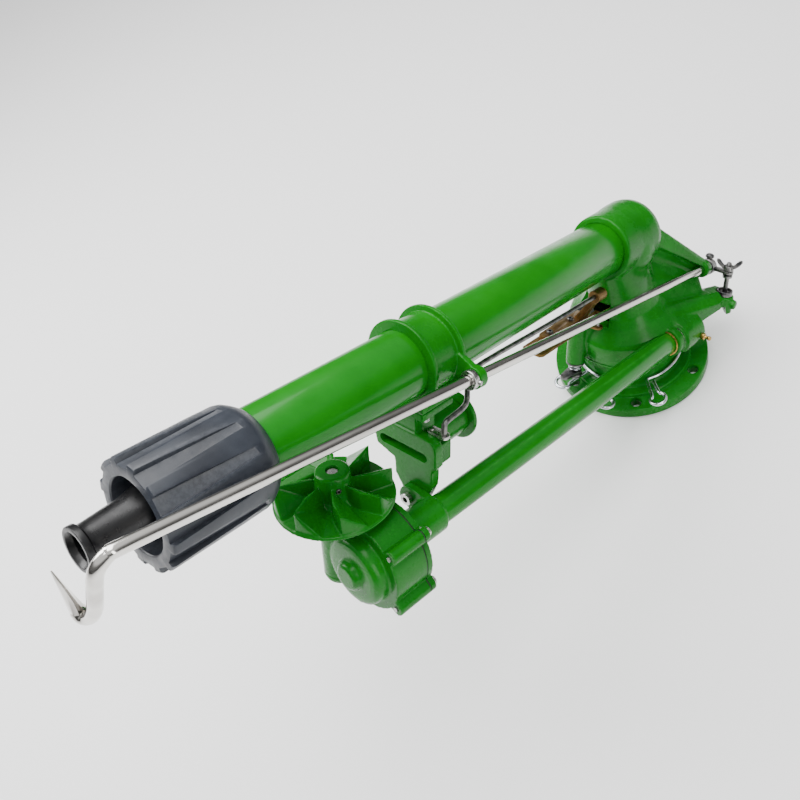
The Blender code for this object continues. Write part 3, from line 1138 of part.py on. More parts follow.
def make_trip_spring(post, low, high):
    """Coil spring between the two washers, one unbroken tube with closed ends."""
    wire = 0.0007
    radius = 0.0070
    turns = 3.5
    per_turn = 9
    count = int(turns * per_turn)
    start, end = low + wire + GAP, high - wire - GAP
    points = []
    for i in range(count + 1):
        share = i / count
        x, y = polar(radius, share * turns * 2 * math.pi)
        points.append((x, y, start + (end - start) * share))
    tube_along("trip_spring", points, wire, post, "zinc_wire", resolution=1)
    print(f"trip_spring least self gap {((end - start) / turns - 2 * wire) * 1000:.2f} mm")


def make_link():
    """Link plate and the bar on it, with the round block that carries the shift rod."""
    crank_x = TRIP_PIVOT.x + TRIP_CRANK_RADIUS
    crank_y = -TRIP_PIVOT.z
    top = PLATE_TOP
    low = top - PLATE_THICKNESS
    plate = [(crank_x + 0.008, crank_y + 0.0055), (crank_x + 0.008, crank_y - 0.009), (0.004, -0.036),
             (0.004, -0.136), (0.001, -0.140), (-0.019, -0.140), (-0.023, -0.136), (-0.023, -0.040),
             (crank_x - 0.008, crank_y - 0.009), (crank_x - 0.008, crank_y + 0.0055)]
    links = outline("link_plates", plate, low, top, UPRIGHT, "yellow_zinc")
    slot = slot_outline(0.0050, 0.0029, crank_y)
    cut(links, outline("crank_slot", [(x + crank_x, y) for x, y in slot], low - 0.01, top + 0.01, UPRIGHT))
    bar_top = top + LINK_BAR_THICKNESS
    bar = [(-0.005, -0.034), (-0.005, -0.108), (-0.008, -0.112), (-0.019, -0.112), (-0.021, -0.108),
           (-0.021, -0.034)]
    join(links, outline("link_bar", bar, top - 0.001, bar_top, UPRIGHT))
    seat = BARREL @ SHIFT_REAR
    rod_frame = frame_at(seat, (BARREL @ SHIFT_FRONT) - seat, (1.0, 0.0, 0.0))
    block_radius = 0.0072
    strap = [UPRIGHT @ Vector((x, y, z)) for x in (-0.013, -0.006) for y in (-0.036, -0.052)
             for z in (top + 0.001, bar_top)]
    strap += [UPRIGHT @ Vector((x, y, SHIFT_REAR.y - 0.003)) for x in (0.009, 0.015) for y in (-0.040, -0.052)]
    join(links, hull("link_strap", strap, WORLD))
    link_block = rod("link_block", block_radius, -0.006, 0.011, rod_frame, "yellow_zinc", steps=16)
    cut(link_block, rod("block_bore", SHIFT_ROD_RADIUS + GAP, -GAP, 0.03, rod_frame, steps=12))
    cut(links, rod("block_space", block_radius + GAP, -0.02, 0.02, rod_frame, steps=16))
    make_shift_rod()
    for name, y in (("link_screw_rear", -0.060), ("link_screw_front", -0.100)):
        cut(links, rod(name + "_tap", SCREW_SHANK_RADIUS + GAP, low - 0.004, bar_top + 0.01,
                       shifted(UPRIGHT, -0.013, y), steps=10))
        screw(name, -0.013, y, bar_top, UPRIGHT, "dark_steel", head=0.0036, reach=LINK_BAR_THICKNESS + 0.002)


def make_shift_rod():
    """Thin rod under the barrel, cranked down past the clamp to the deflector's crank."""
    end_x = DEFLECTOR_PIVOT.x + CRANK_ARM
    end_z = DEFLECTOR_PIVOT.z
    low = BAR_TOP - 0.0015 + GAP
    points = [BARREL @ SHIFT_REAR, BARREL @ SHIFT_FRONT, BARREL @ Vector((0.024, -0.0425, 0.290)),
              BARREL @ Vector((end_x - 0.002, -0.0485, 0.306)), BARREL @ Vector((end_x, -0.0500, end_z - 0.006)),
              BARREL @ Vector((end_x, -0.0515, end_z - 0.0012)), BARREL @ Vector((end_x, -0.0545, end_z)),
              BARREL @ Vector((end_x, low, end_z))]
    tube_along("shift_rod", points, SHIFT_ROD_RADIUS, WORLD, "polished_steel", resolution=2)


def stud_frame():
    """On the plunger's axis where it passes the link arm, square to the barrel."""
    centre = ROD @ Vector((PLUNGER_SIDE, 0.0, CLAMP_STATION))
    return frame_at(centre, UPRIGHT.col[2].to_3d(), (1.0, 0.0, 0.0))


def cup_frame():
    """On the plunger's axis at the cup arm's seat."""
    return shifted(stud_frame(), z=-CUP_DROP)


def tunnel():
    """Worm tunnel with the collar that takes the drive tube."""
    barrel = rod("tunnel", TUNNEL_RADIUS, -TUNNEL_DEPTH - TUNNEL_WALL, 0.0, DRIVE, steps=20)
    return join(barrel, rod("tunnel_collar", DRIVE_TUBE_RADIUS + 0.0045, -0.002, TUNNEL_COLLAR_LENGTH, DRIVE,
                            steps=20))


CLAMP_STATION = 0.0035


def make_jet_breaker():
    """Hooked rod with collar, rear clamp and link arm; plunger, wing nut and cup at its tail."""
    to_rod = ROD.inverted() @ BARREL
    bend = [(0.0460, 0.0262, 0.634), (0.0450, 0.0255, 0.640), (0.0435, 0.0205, 0.6455), (0.0400, 0.012, 0.6480),
            (0.0330, -0.006, 0.6475), (0.0245, -0.024, 0.6460), (0.0185, -0.0345, 0.6460),
            (0.0125, -0.0405, 0.6465), (0.0080, -0.0415, 0.6480), (0.0050, -0.0375, 0.6490)]
    points = [Vector((0.0, 0.0, 0.0)), Vector((0.0, 0.0, ROD_LENGTH * 0.5))]
    points += [to_rod @ Vector(p) for p in bend]
    breaker = tube_along("jet_breaker_rod", points, ROD_RADIUS, ROD, "polished_steel", resolution=2)
    start = Vector(bend[-1])
    tip = Vector((0.0, -0.0040, 0.6560))
    ahead = (tip - start).normalized()
    side = Vector((0.0, 0.0, 1.0)).cross(ahead).normalized()
    flat = ahead.cross(side).normalized()
    spear = []
    for share, half_width, half_depth in ((-0.10, 0.0035, 0.0035), (0.30, 0.0068, 0.0020), (0.62, 0.0052, 0.0014),
                                          (1.0, 0.0006, 0.0006)):
        centre = start + (tip - start) * share
        for a, b in ((1, 1), (1, -1), (-1, 1), (-1, -1)):
            spear.append(BARREL @ (centre + side * half_width * a + flat * half_depth * b))
    join(breaker, hull("spear", spear, WORLD))
    collar = front_eye_frame()
    rod_collar = ring("rod_collar", ROD_RADIUS + GAP, 0.0088, EYE_LENGTH - 0.003 + GAP, EYE_LENGTH + 0.0065,
                      collar, "polished_steel", 20)
    screw_axis = turned_about(shifted(collar, z=EYE_LENGTH + 0.0020), math.radians(105.0), "Y")
    join(rod_collar, rod("collar_screw", SCREW_SHANK_RADIUS, ROD_RADIUS + 0.0008, 0.0110, screw_axis, steps=10))
    clamp = shifted(ROD, z=-0.001)
    rod_clamp = ring("rod_clamp", ROD_RADIUS + GAP, 0.0098, 0.0, 0.0100, clamp, "dark_steel", 20)
    arm = turned_about(shifted(ROD, z=CLAMP_STATION), -math.pi / 2, "X")
    link = outline("link_bar", arc_points((0.012, 0.0), 0.0045, 90.0, 270.0, 4)
                   + arc_points((PLUNGER_SIDE, 0.0), 0.0062, -90.0, 90.0, 6), -0.0018, 0.0018, arm)
    join(rod_clamp, link)
    cut(rod_clamp, rod("clamp_rod_bore", ROD_RADIUS + GAP, -0.02, 0.03, clamp, steps=16))
    cut(rod_clamp, rod("plunger_eye", PLUNGER_RADIUS + 0.0009, -0.01, 0.01, shifted(arm, x=PLUNGER_SIDE),
                       steps=12))
    knob = turned_about(shifted(arm, x=0.0), 0.0, "Z")
    rod("clamp_knob", 0.0052, 0.0098, 0.0160, knob, "dark_steel", steps=12)
    make_plunger()


def make_plunger():
    """Stud through the link's free end, its wing nut above and the cup that guides it below."""
    stud = stud_frame()
    turned("plunger", [(0.0, 0.0125), (PLUNGER_RADIUS - 0.0003, 0.0125), (PLUNGER_RADIUS, 0.0115),
                       (PLUNGER_RADIUS, -0.0034), (0.0058, -0.0034), (0.0058, -0.0064),
                       (PLUNGER_RADIUS, -0.0064), (PLUNGER_RADIUS, -0.0380), (0.0, -0.0380)], stud,
           "dark_steel", steps=14, closed=False)
    nut = turned("wing_nut", [(0.0052, 0.0085), (0.0060, 0.0033), (PLUNGER_RADIUS + GAP, 0.0033),
                              (PLUNGER_RADIUS + GAP, 0.0085)], stud, "dark_steel", steps=14)
    for side in (-1, 1):
        wing = [(side * 0.0045, 0.0045), (side * 0.0105, 0.0075), (side * 0.0150, 0.0120), (side * 0.0150, 0.0160),
                (side * 0.0115, 0.0165), (side * 0.0075, 0.0120), (side * 0.0045, 0.0082)]
        upright = turned_about(turned_about(stud, math.radians(25.0), "Z"), math.pi / 2, "X")
        join(nut, outline(f"wing_{side + 1}", wing if side < 0 else wing[::-1], -0.0011, 0.0011, upright))
    rim = CUP_DEPTH
    turned("plunger_cup", [(CUP_RADIUS - 0.0006, rim), (CUP_RADIUS, rim - 0.0006), (CUP_RADIUS, 0.0),
                           (CUP_STEM_RADIUS, 0.0), (CUP_STEM_RADIUS, -CUP_STEM_LENGTH),
                           (PLUNGER_RADIUS + 2 * GAP, -CUP_STEM_LENGTH), (PLUNGER_RADIUS + 2 * GAP, 0.0015),
                           (CUP_RADIUS - 0.0022, 0.0035), (CUP_RADIUS - 0.0018, rim)], cup_frame(),
           "dark_steel", steps=18)


def adopt(child, carrier):
    """Parents a piece without moving it."""
    child.parent = carrier
    child.matrix_parent_inverse = carrier.matrix_world.inverted()


def pivot(name, frame, carrier, nodes):
    """An empty on a joint's axis, carrying the pieces that move about it."""
    item = bpy.data.objects.new(name, None)
    item.empty_display_size = 0.03
    item.matrix_world = frame
    parts.objects.link(item)
    if carrier is not None:
        adopt(item, carrier)
    for node in nodes:
        adopt(parts.objects[node], item)
    return item


def make_pivots():
    """What stands still hangs on one empty, and each moving body on its own."""
    base = pivot("inlet_axis", WORLD, None, ("base_flange", "worm_ring", "lower_thrust_washer",
                                             "upper_thrust_washer"))
    for name in ("stop_clip_a", "stop_clip_b"):
        pivot(name + "_axis", WORLD, base, (name,))
    gun = pivot("swivel_axis", WORLD, base, GUN_NODES)
    pivot("turbine_axis", TURBINE, gun, ("turbine_wheel", "turbine_shaft", "hub_screw"))
    pivot("drive_axis", DRIVE, gun, ("drive_shaft", "worm_wheel", "base_worm"))
    pivot("trip_axis", shifted(UPRIGHT, TRIP_PIVOT.x, -TRIP_PIVOT.z), gun,
          ("trip_spindle", "crank_plate", "trip_spring"))
    pivot("link_axis", BARREL, gun, ("link_plates", "link_block", "shift_rod", "link_screw_rear",
                                     "link_screw_front"))
    pivot("deflector_axis", shifted(UPRIGHT, DEFLECTOR_PIVOT.x, -DEFLECTOR_PIVOT.z), gun, ("deflector",))
    pivot("breaker_axis", ROD, gun, ("jet_breaker_rod", "rod_collar", "rod_clamp", "clamp_knob"))
    stud = pivot("plunger_axis", stud_frame(), gun, ("plunger",))
    pivot("wing_nut_axis", stud_frame(), stud, ("wing_nut",))


def main():
    clear_scene()
    make_collections()
    make_base()
    make_worm_ring()
    make_body()
    make_cover()
    make_barrel()
    make_nozzle()
    make_bracket()
    make_gear_case()
    make_turbine()
    make_drive()
    make_fittings()
    make_stops()
    make_trip()
    make_link()
    make_jet_breaker()
    make_pivots()


main()
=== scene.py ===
import json
import math

import bpy
from mathutils import Matrix, Vector


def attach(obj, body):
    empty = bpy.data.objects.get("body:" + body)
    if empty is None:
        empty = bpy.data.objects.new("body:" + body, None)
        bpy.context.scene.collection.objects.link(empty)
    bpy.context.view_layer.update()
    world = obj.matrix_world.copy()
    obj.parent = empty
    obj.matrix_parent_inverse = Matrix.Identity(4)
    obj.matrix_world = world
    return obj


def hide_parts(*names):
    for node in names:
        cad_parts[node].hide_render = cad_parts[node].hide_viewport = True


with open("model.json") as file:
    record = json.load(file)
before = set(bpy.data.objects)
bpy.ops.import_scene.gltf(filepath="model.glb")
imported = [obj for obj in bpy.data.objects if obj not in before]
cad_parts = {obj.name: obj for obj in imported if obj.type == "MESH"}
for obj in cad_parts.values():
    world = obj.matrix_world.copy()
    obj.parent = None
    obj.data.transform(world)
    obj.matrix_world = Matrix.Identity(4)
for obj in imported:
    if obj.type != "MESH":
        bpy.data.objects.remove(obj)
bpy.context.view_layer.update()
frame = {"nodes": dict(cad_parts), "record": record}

bpy.ops.object.select_all(action="DESELECT")
gap = 0.0003  # running clearance between neighbouring pieces
rise = math.radians(23.0)  # the barrel's climb


# places along the gun, each with Z along its own piece
def placeAt(origin, along, sideHint):
    z = Vector(along).normalized()
    x = Vector(sideHint)
    x = (x - x.dot(z) * z).normalized()
    place = Matrix((x, z.cross(x), z)).transposed().to_4x4()
    place.translation = Vector(origin)
    return place


def moved(place, x=0.0, y=0.0, z=0.0):
    return place @ Matrix.Translation((x, y, z))


def turnedBy(place, degrees, axis):
    return place @ Matrix.Rotation(math.radians(degrees), 4, axis)


layout = {"barrelHigh": 0.202, "driveRear": (0.066, -0.120, -0.046), "driveFront": (0.040, -0.136, 0.352),
          "turbineAside": -0.035, "turbineAlong": 0.480, "rodRear": (0.0602, -0.0590, -0.137),
          "rodBend": (0.0460, 0.0262, 0.634), "trip": (-0.026, -0.017), "deflector": (0.0225, -0.337),
          "stud": (0.026, 0.0, 0.0035), "cupDrop": -0.0300}
ground = Matrix.Identity(4)
barrelLine = placeAt((0, 0, layout["barrelHigh"]), (0, -math.cos(rise), math.sin(rise)), (1, 0, 0))
driveRear = barrelLine @ Vector(layout["driveRear"])
driveFront = barrelLine @ Vector(layout["driveFront"])
driveLine = placeAt(driveRear, driveFront - driveRear, (1, 0, 0))
turbineLine = turnedBy(moved(driveLine, x=layout["turbineAside"], z=layout["turbineAlong"]), -90, "X")
upright = turnedBy(barrelLine, -90, "X")
rodRear = Vector(layout["rodRear"])
rodBend = Vector(layout["rodBend"])
rodLine = placeAt(barrelLine @ rodRear, barrelLine @ rodBend - barrelLine @ rodRear, (1, 0, 0))
tripLine = moved(upright, *layout["trip"])
deflectorLine = moved(upright, *layout["deflector"])
studLine = placeAt(rodLine @ Vector(layout["stud"]), upright.col[2].to_3d(), (1, 0, 0))
cupLine = moved(studLine, z=layout["cupDrop"])


# shop tools: each starts from a primitive and works on it in edit mode
def pick(item):
    bpy.ops.object.select_all(action="DESELECT")
    item.select_set(True)
    bpy.context.view_layer.objects.active = item


def editAll(item):
    pick(item)
    bpy.ops.object.mode_set(mode="EDIT")
    bpy.ops.mesh.select_all(action="SELECT")


def closeUp(item, place):
    bpy.ops.mesh.select_all(action="SELECT")
    bpy.ops.mesh.remove_doubles(threshold=0.000005)
    bpy.ops.mesh.select_all(action="SELECT")
    bpy.ops.mesh.delete_loose()
    bpy.ops.mesh.select_all(action="SELECT")
    bpy.ops.mesh.normals_make_consistent(inside=False)
    bpy.ops.object.mode_set(mode="OBJECT")
    item.matrix_world = place
    bpy.ops.object.transform_apply(location=True, rotation=True, scale=True)
    return item


def loopOf(corners):
    bpy.ops.object.select_all(action="DESELECT")
    bpy.ops.mesh.primitive_circle_add(vertices=len(corners), radius=0.01)
    item = bpy.context.object
    for vertex, corner in zip(item.data.vertices, corners):
        vertex.co = corner
    return item


def turn(profile, place, steps=72):
    item = loopOf([(radius, 0, along) for radius, along in profile])
    editAll(item)
    bpy.ops.mesh.spin(steps=steps, angle=2 * math.pi, center=(0, 0, 0), axis=(0, 0, 1))
    return closeUp(item, place)


def tube(inner, outer, low, high, place, steps=72):
    return turn([(outer, high), (outer, low), (inner, low), (inner, high)], place, steps)


def bar(radius, low, high, place, steps=48):
    return turn([(0, high), (radius, high), (radius, low), (0, low)], place, steps)


def slab(outline, low, high, place):
    item = loopOf([(x, y, low) for x, y in outline])
    editAll(item)
    bpy.ops.mesh.edge_face_add()
    bpy.ops.mesh.extrude_region_move(TRANSFORM_OT_translate={"value": (0, 0, high - low)})
    return closeUp(item, place)


def brick(low, high, place):
    middle = [(a + b) / 2 for a, b in zip(low, high)]
    bpy.ops.object.select_all(action="DESELECT")
    bpy.ops.mesh.primitive_cube_add(size=1.0)
    item = bpy.context.object
    editAll(item)
    bpy.ops.transform.resize(value=[b - a for a, b in zip(low, high)])
    bpy.ops.transform.translate(value=middle)
    return closeUp(item, place)


def skinOver(points):
    item = loopOf(points)
    editAll(item)
    bpy.ops.mesh.convex_hull()
    return closeUp(item, ground)


def bentBar(route, radius, resolution=5):
    curve = bpy.data.curves.new("bentBar", "CURVE")
    curve.dimensions = "3D"
    curve.bevel_depth = radius
    curve.bevel_resolution = resolution
    curve.use_fill_caps = True
    spline = curve.splines.new("POLY")
    spline.points.add(len(route) - 1)
    for point, spot in zip(spline.points, route):
        point.co = (*spot, 1.0)
    item = bpy.data.objects.new("bentBar", curve)
    bpy.context.collection.objects.link(item)
    pick(item)
    bpy.ops.object.convert(target="MESH")
    item = bpy.context.object
    editAll(item)
    return closeUp(item, ground)


def joined(pieces):
    bpy.ops.object.select_all(action="DESELECT")
    for piece in pieces:
        piece.select_set(True)
    bpy.context.view_layer.objects.active = pieces[0]
    if len(pieces) > 1:
        bpy.ops.object.join()
    return bpy.context.view_layer.objects.active


def modified(item, kind, **settings):
    pick(item)
    bpy.ops.object.modifier_add(type=kind)
    step = item.modifiers[-1]
    for key, value in settings.items():
        setattr(step, key, value)
    bpy.ops.object.modifier_apply(modifier=step.name)
    return item


def cast(pieces, voxel, rounds=3):  # forms flow into each other as in a mould
    item = modified(joined(pieces), "REMESH", mode="VOXEL", voxel_size=voxel, use_smooth_shade=True)
    return modified(item, "SMOOTH", factor=0.5, iterations=rounds)


def machined(item, cutters):  # bores, seats and slots
    for cutter in cutters:
        modified(item, "BOOLEAN", operation="DIFFERENCE", solver="MANIFOLD", object=cutter)
        bpy.data.objects.remove(cutter)
    return item


def fusedWith(item, other):
    modified(item, "BOOLEAN", operation="UNION", solver="MANIFOLD", object=other)
    bpy.data.objects.remove(other)
    return item


def rounded(item, width, segments=2, degrees=30.0):
    return modified(item, "BEVEL", width=width, segments=segments, limit_method="ANGLE",
                    angle_limit=math.radians(degrees))


def fitted(item, name, finish, body, nodes=(), degrees=32.0):
    pick(item)
    bpy.ops.object.shade_smooth_by_angle(angle=math.radians(degrees))
    item.name = item.data.name = name
    item.data.materials.clear()
    item.data.materials.append(materials[finish])
    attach(item, body)
    if nodes:
        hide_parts(*nodes)
    print("fitted", name, len(item.data.polygons), "faces")


# shapes that several pieces are drawn from
def ringOf(centre, radius, place=ground, count=32):
    return [place @ (Vector(centre) + Vector((radius * math.cos(2 * math.pi * i / count),
                                              radius * math.sin(2 * math.pi * i / count), 0)))
            for i in range(count)]


def ballOf(centre, radius, rows=12, count=24):
    spots = []
    for row in range(rows + 1):
        lift = math.pi * row / rows
        spots += ringOf(Vector(centre) + Vector((0, 0, radius * math.cos(lift))), radius * math.sin(lift),
                        count=count)
    return spots


def arc(centre, radius, start, end, count=10):
    return [(centre[0] + radius * math.cos(math.radians(start + (end - start) * i / count)),
             centre[1] + radius * math.sin(math.radians(start + (end - start) * i / count)))
            for i in range(count + 1)]


def slotOutline(half, radius, centre):
    return arc((half - radius, centre), radius, -90, 90) + arc((-half + radius, centre), radius, 90, 270)


def smoothRoute(points, per=8):
    points = [Vector(p) for p in points]
    route = []
    for i in range(len(points) - 1):
        b, c = points[i], points[i + 1]
        a = points[i - 1] if i else b + (b - c)
        d = points[i + 2] if i + 2 < len(points) else c + (c - b)
        for k in range(per):
            t = k / per
            route.append(0.5 * ((2 * b) + (c - a) * t + (2 * a - 5 * b + 4 * c - d) * t ** 2
                                + (3 * b - a - 3 * c + d) * t ** 3))
    return route + [points[-1]]


# finishes
def ranged(nodes, links, value, low, high, toLow, toHigh):
    node = nodes.new("ShaderNodeMapRange")
    node.inputs["From Min"].default_value = low
    node.inputs["From Max"].default_value = high
    node.inputs["To Min"].default_value = toLow
    node.inputs["To Max"].default_value = toHigh
    links.new(value, node.inputs["Value"])
    return node.outputs["Result"]


def noise(nodes, links, spot, scale, detail=3.0, rough=0.5):
    node = nodes.new("ShaderNodeTexNoise")
    node.inputs["Scale"].default_value = scale
    node.inputs["Detail"].default_value = detail
    node.inputs["Roughness"].default_value = rough
    links.new(spot, node.inputs["Vector"])
    return node.outputs["Fac"]


def blended(nodes, links, factor, a, b):
    node = nodes.new("ShaderNodeMix")
    node.data_type = "RGBA"
    links.new(factor, node.inputs["Factor"])
    for socket, value in ((node.inputs["A"], a), (node.inputs["B"], b)):
        if isinstance(value, tuple):
            socket.default_value = (*value, 1.0)
        else:
            links.new(value, socket)
    return node.outputs["Result"]


def finishOf(name, s):
    material = bpy.data.materials.new(name)
    material.use_nodes = True
    nodes, links = material.node_tree.nodes, material.node_tree.links
    shader = nodes["Principled BSDF"]
    spot = nodes.new("ShaderNodeTexCoord").outputs["Object"]
    if "stretch" in s:  # drawn out along the barrel
        turnedSpot = nodes.new("ShaderNodeMapping")
        turnedSpot.vector_type = "TEXTURE"
        turnedSpot.inputs["Rotation"].default_value = (-rise, 0, 0)
        turnedSpot.inputs["Scale"].default_value = (1.0, s["stretch"], 1.0)
        links.new(spot, turnedSpot.inputs["Vector"])
        spot = turnedSpot.outputs["Vector"]
    patches = ranged(nodes, links, noise(nodes, links, spot, s["patch"], 4.0), 0.35, 0.65, 0.0, 1.0)
    colour = blended(nodes, links, patches, s["dark"], s["light"])
    corner = nodes.new("ShaderNodeNewGeometry").outputs["Pointiness"]
    speckle = ranged(nodes, links, noise(nodes, links, spot, s["patch"] * 9, 5.0, 0.65), 0.35, 0.6, 0.0, 1.0)
    if "edge" in s:  # rubbed edges with a painted highlight along them, in broken patches
        rubbedAndHighlit = nodes.new("ShaderNodeMath")
        rubbedAndHighlit.operation = "MULTIPLY"
        links.new(ranged(nodes, links, corner, 0.53, 0.64, 0.0, s["wear"]), rubbedAndHighlit.inputs[0])
        links.new(speckle, rubbedAndHighlit.inputs[1])
        colour = blended(nodes, links, rubbedAndHighlit.outputs["Value"], colour, s["edge"])
    # painted shade, partly dirt: hollows, picked out by low pointiness, are mixed towards a darker colour (lighter
    # only on the rubber)
    hollowShadeAndDirt = ranged(nodes, links, corner, 0.475, 0.38, 0.0, s["hollowShadeAndDirt"])
    colour = blended(nodes, links, hollowShadeAndDirt, colour, s["shadedDirtColour"])
    links.new(colour, shader.inputs["Base Color"])
    rough = ranged(nodes, links, noise(nodes, links, spot, s["patch"] * 4, 5.0, 0.6), 0.3, 0.7, *s["rough"])
    links.new(rough, shader.inputs["Roughness"])
    shader.inputs["Metallic"].default_value = s.get("metallic", 0.0)
    shader.inputs["Coat Weight"].default_value = s.get("coat", 0.0)
    shader.inputs["Coat Roughness"].default_value = s.get("coatRough", 0.08)
    shader.inputs["Specular IOR Level"].default_value = s.get("specular", 0.5)
    relief = nodes.new("ShaderNodeBump")
    relief.inputs["Strength"].default_value = s["bump"]
    relief.inputs["Distance"].default_value = s["depth"]
    links.new(noise(nodes, links, spot, s["grain"], 3.0), relief.inputs["Height"])
    links.new(relief.outputs["Normal"], shader.inputs["Normal"])
    return material


# each finish's edge colour lightens its sharp edges, partly as wear and partly as painted highlight
# each finish's hollow colour darkens its hollows as painted shade, partly as dirt
finishes = {
    "castPaint": dict(slot="green_paint", dark=(0.0016, 0.112, 0.0024), light=(0.0030, 0.155, 0.0046), patch=20.0,
                      rough=(0.20, 0.34), grain=240.0, bump=0.08, depth=0.0005, coat=0.05, specular=0.16,
                      edge=(0.02, 0.27, 0.022), wear=0.3, hollowShadeAndDirt=0.75, shadedDirtColour=(0.0004, 0.020, 0.001)),
    "tubePaint": dict(slot="green_paint", dark=(0.0020, 0.135, 0.0030), light=(0.0034, 0.172, 0.0052), patch=12.0,
                      rough=(0.14, 0.26), grain=110.0, bump=0.05, depth=0.0005, coat=0.08, specular=0.20,
                      edge=(0.02, 0.33, 0.02), wear=0.3, hollowShadeAndDirt=0.5, shadedDirtColour=(0.0006, 0.030, 0.001)),
    "greyNylon": dict(slot="grey_plastic", dark=(0.013, 0.016, 0.023), light=(0.024, 0.029, 0.039), patch=30.0,
                      rough=(0.30, 0.50), grain=900.0, bump=0.20, depth=0.0003, edge=(0.13, 0.14, 0.16),
                      wear=0.2, hollowShadeAndDirt=0.9, shadedDirtColour=(0.002, 0.003, 0.004), specular=0.45),
    "blackNylon": dict(slot="black_plastic", dark=(0.0015, 0.0015, 0.002), light=(0.004, 0.004, 0.0045),
                       patch=40.0, rough=(0.24, 0.40), grain=800.0, bump=0.15, depth=0.0003,
                       edge=(0.03, 0.03, 0.032), wear=0.5, hollowShadeAndDirt=0.3, shadedDirtColour=(0.001, 0.001, 0.001), specular=0.4),
    "polishedRod": dict(slot="polished_steel", dark=(0.50, 0.48, 0.45), light=(0.74, 0.72, 0.68), patch=60.0,
                        rough=(0.07, 0.20), grain=700.0, bump=0.10, depth=0.0002, metallic=1.0, stretch=12.0,
                        hollowShadeAndDirt=0.3, shadedDirtColour=(0.18, 0.16, 0.13)),
    "brightSteel": dict(slot="polished_steel", dark=(0.34, 0.34, 0.33), light=(0.58, 0.57, 0.54), patch=180.0,
                        rough=(0.18, 0.36), grain=1400.0, bump=0.2, depth=0.0002, metallic=1.0, hollowShadeAndDirt=0.6,
                        shadedDirtColour=(0.08, 0.07, 0.06)),
    "darkSteel": dict(slot="dark_steel", dark=(0.060, 0.060, 0.064), light=(0.20, 0.195, 0.185), patch=150.0,
                      rough=(0.24, 0.46), grain=1100.0, bump=0.35, depth=0.0003, metallic=1.0,
                      edge=(0.50, 0.49, 0.47), wear=0.7, hollowShadeAndDirt=0.8, shadedDirtColour=(0.02, 0.018, 0.015)),
    "zincWire": dict(slot="zinc_wire", dark=(0.46, 0.50, 0.54), light=(0.72, 0.75, 0.79), patch=120.0,
                     rough=(0.12, 0.28), grain=900.0, bump=0.12, depth=0.0002, metallic=1.0, hollowShadeAndDirt=0.4,
                     shadedDirtColour=(0.15, 0.15, 0.15)),
    "yellowZinc": dict(slot="yellow_zinc", dark=(0.085, 0.042, 0.008), light=(0.185, 0.105, 0.028), patch=60.0,
                       rough=(0.26, 0.48), grain=900.0, bump=0.25, depth=0.0003, metallic=0.75,
                       edge=(0.40, 0.27, 0.10), wear=0.5, hollowShadeAndDirt=0.8, shadedDirtColour=(0.02, 0.010, 0.003)),
    "turnedBrass": dict(slot="brass", dark=(0.42, 0.24, 0.06), light=(0.60, 0.38, 0.12), patch=200.0,
                        rough=(0.20, 0.36), grain=1500.0, bump=0.2, depth=0.0002, metallic=1.0, hollowShadeAndDirt=0.7,
                        shadedDirtColour=(0.10, 0.05, 0.015)),
    "bearingBronze": dict(slot="bronze", dark=(0.32, 0.19, 0.08), light=(0.46, 0.29, 0.13), patch=90.0,
                          rough=(0.30, 0.46), grain=900.0, bump=0.2, depth=0.0003, metallic=1.0, hollowShadeAndDirt=0.5,
                          shadedDirtColour=(0.08, 0.05, 0.02)),
    "sealRubber": dict(slot="rubber", dark=(0.006, 0.010, 0.006), light=(0.014, 0.020, 0.014), patch=60.0,
                       rough=(0.60, 0.85), grain=900.0, bump=0.3, depth=0.0003, hollowShadeAndDirt=0.3,
                       shadedDirtColour=(0.02, 0.02, 0.018)),
}
materials = {name: finishOf(name, settings) for name, settings in finishes.items()}
print("finishes", len(materials))

# inlet flange with its step and the neck that the gun turns on
flange = {"radius": 0.095, "top": 0.014, "step": 0.075, "stepTop": 0.018, "neck": 0.0615, "neckTop": 0.054,
          "fillet": 0.0045, "filletTop": 0.0225, "sleeve": 0.044, "sleeveTop": 0.0975, "bore": 0.036, "bolts": 6,
          "boltCircle": 0.083, "boltHole": 0.0068, "firstBolt": 4.0}
shape = [(flange["sleeve"], flange["sleeveTop"]), (flange["sleeve"], flange["neckTop"]),
         (0.0573, flange["neckTop"]), (flange["neck"], 0.0498), (flange["neck"], flange["filletTop"])]
shape += [(flange["neck"] + flange["fillet"] * (1 - math.cos(math.radians(a))),
           flange["filletTop"] - flange["fillet"] * math.sin(math.radians(a))) for a in (22, 45, 68, 90)]
shape += [(0.0735, flange["stepTop"]), (flange["step"], 0.0168), (0.0752, 0.0155), (0.0757, 0.0145),
          (0.0767, flange["top"]), (0.0935, flange["top"]), (0.0946, 0.0135), (flange["radius"], 0.0125),
          (flange["radius"], 0.0012), (0.0942, 0.0), (0.0365, 0.0), (flange["bore"], 0.0006),
          (flange["bore"], flange["sleeveTop"])]
inletFlange = turn(shape, ground, 128)
boltPlaces = [turnedBy(ground, flange["firstBolt"] + 60.0 * i, "Z") for i in range(flange["bolts"])]
machined(inletFlange, [bar(flange["boltHole"], -0.01, 0.03, moved(place, x=flange["boltCircle"]), 40)
                       for place in boltPlaces])
fitted(rounded(inletFlange, 0.0005, 2, 40.0), "inletFlange", "castPaint", "base", ["base_flange"])

# bent wire stops that are pinched and turned by hand round the neck
wire = {"thick": 0.0022, "ring": 0.0640, "loop": 0.0088, "loopCentre": 0.100}


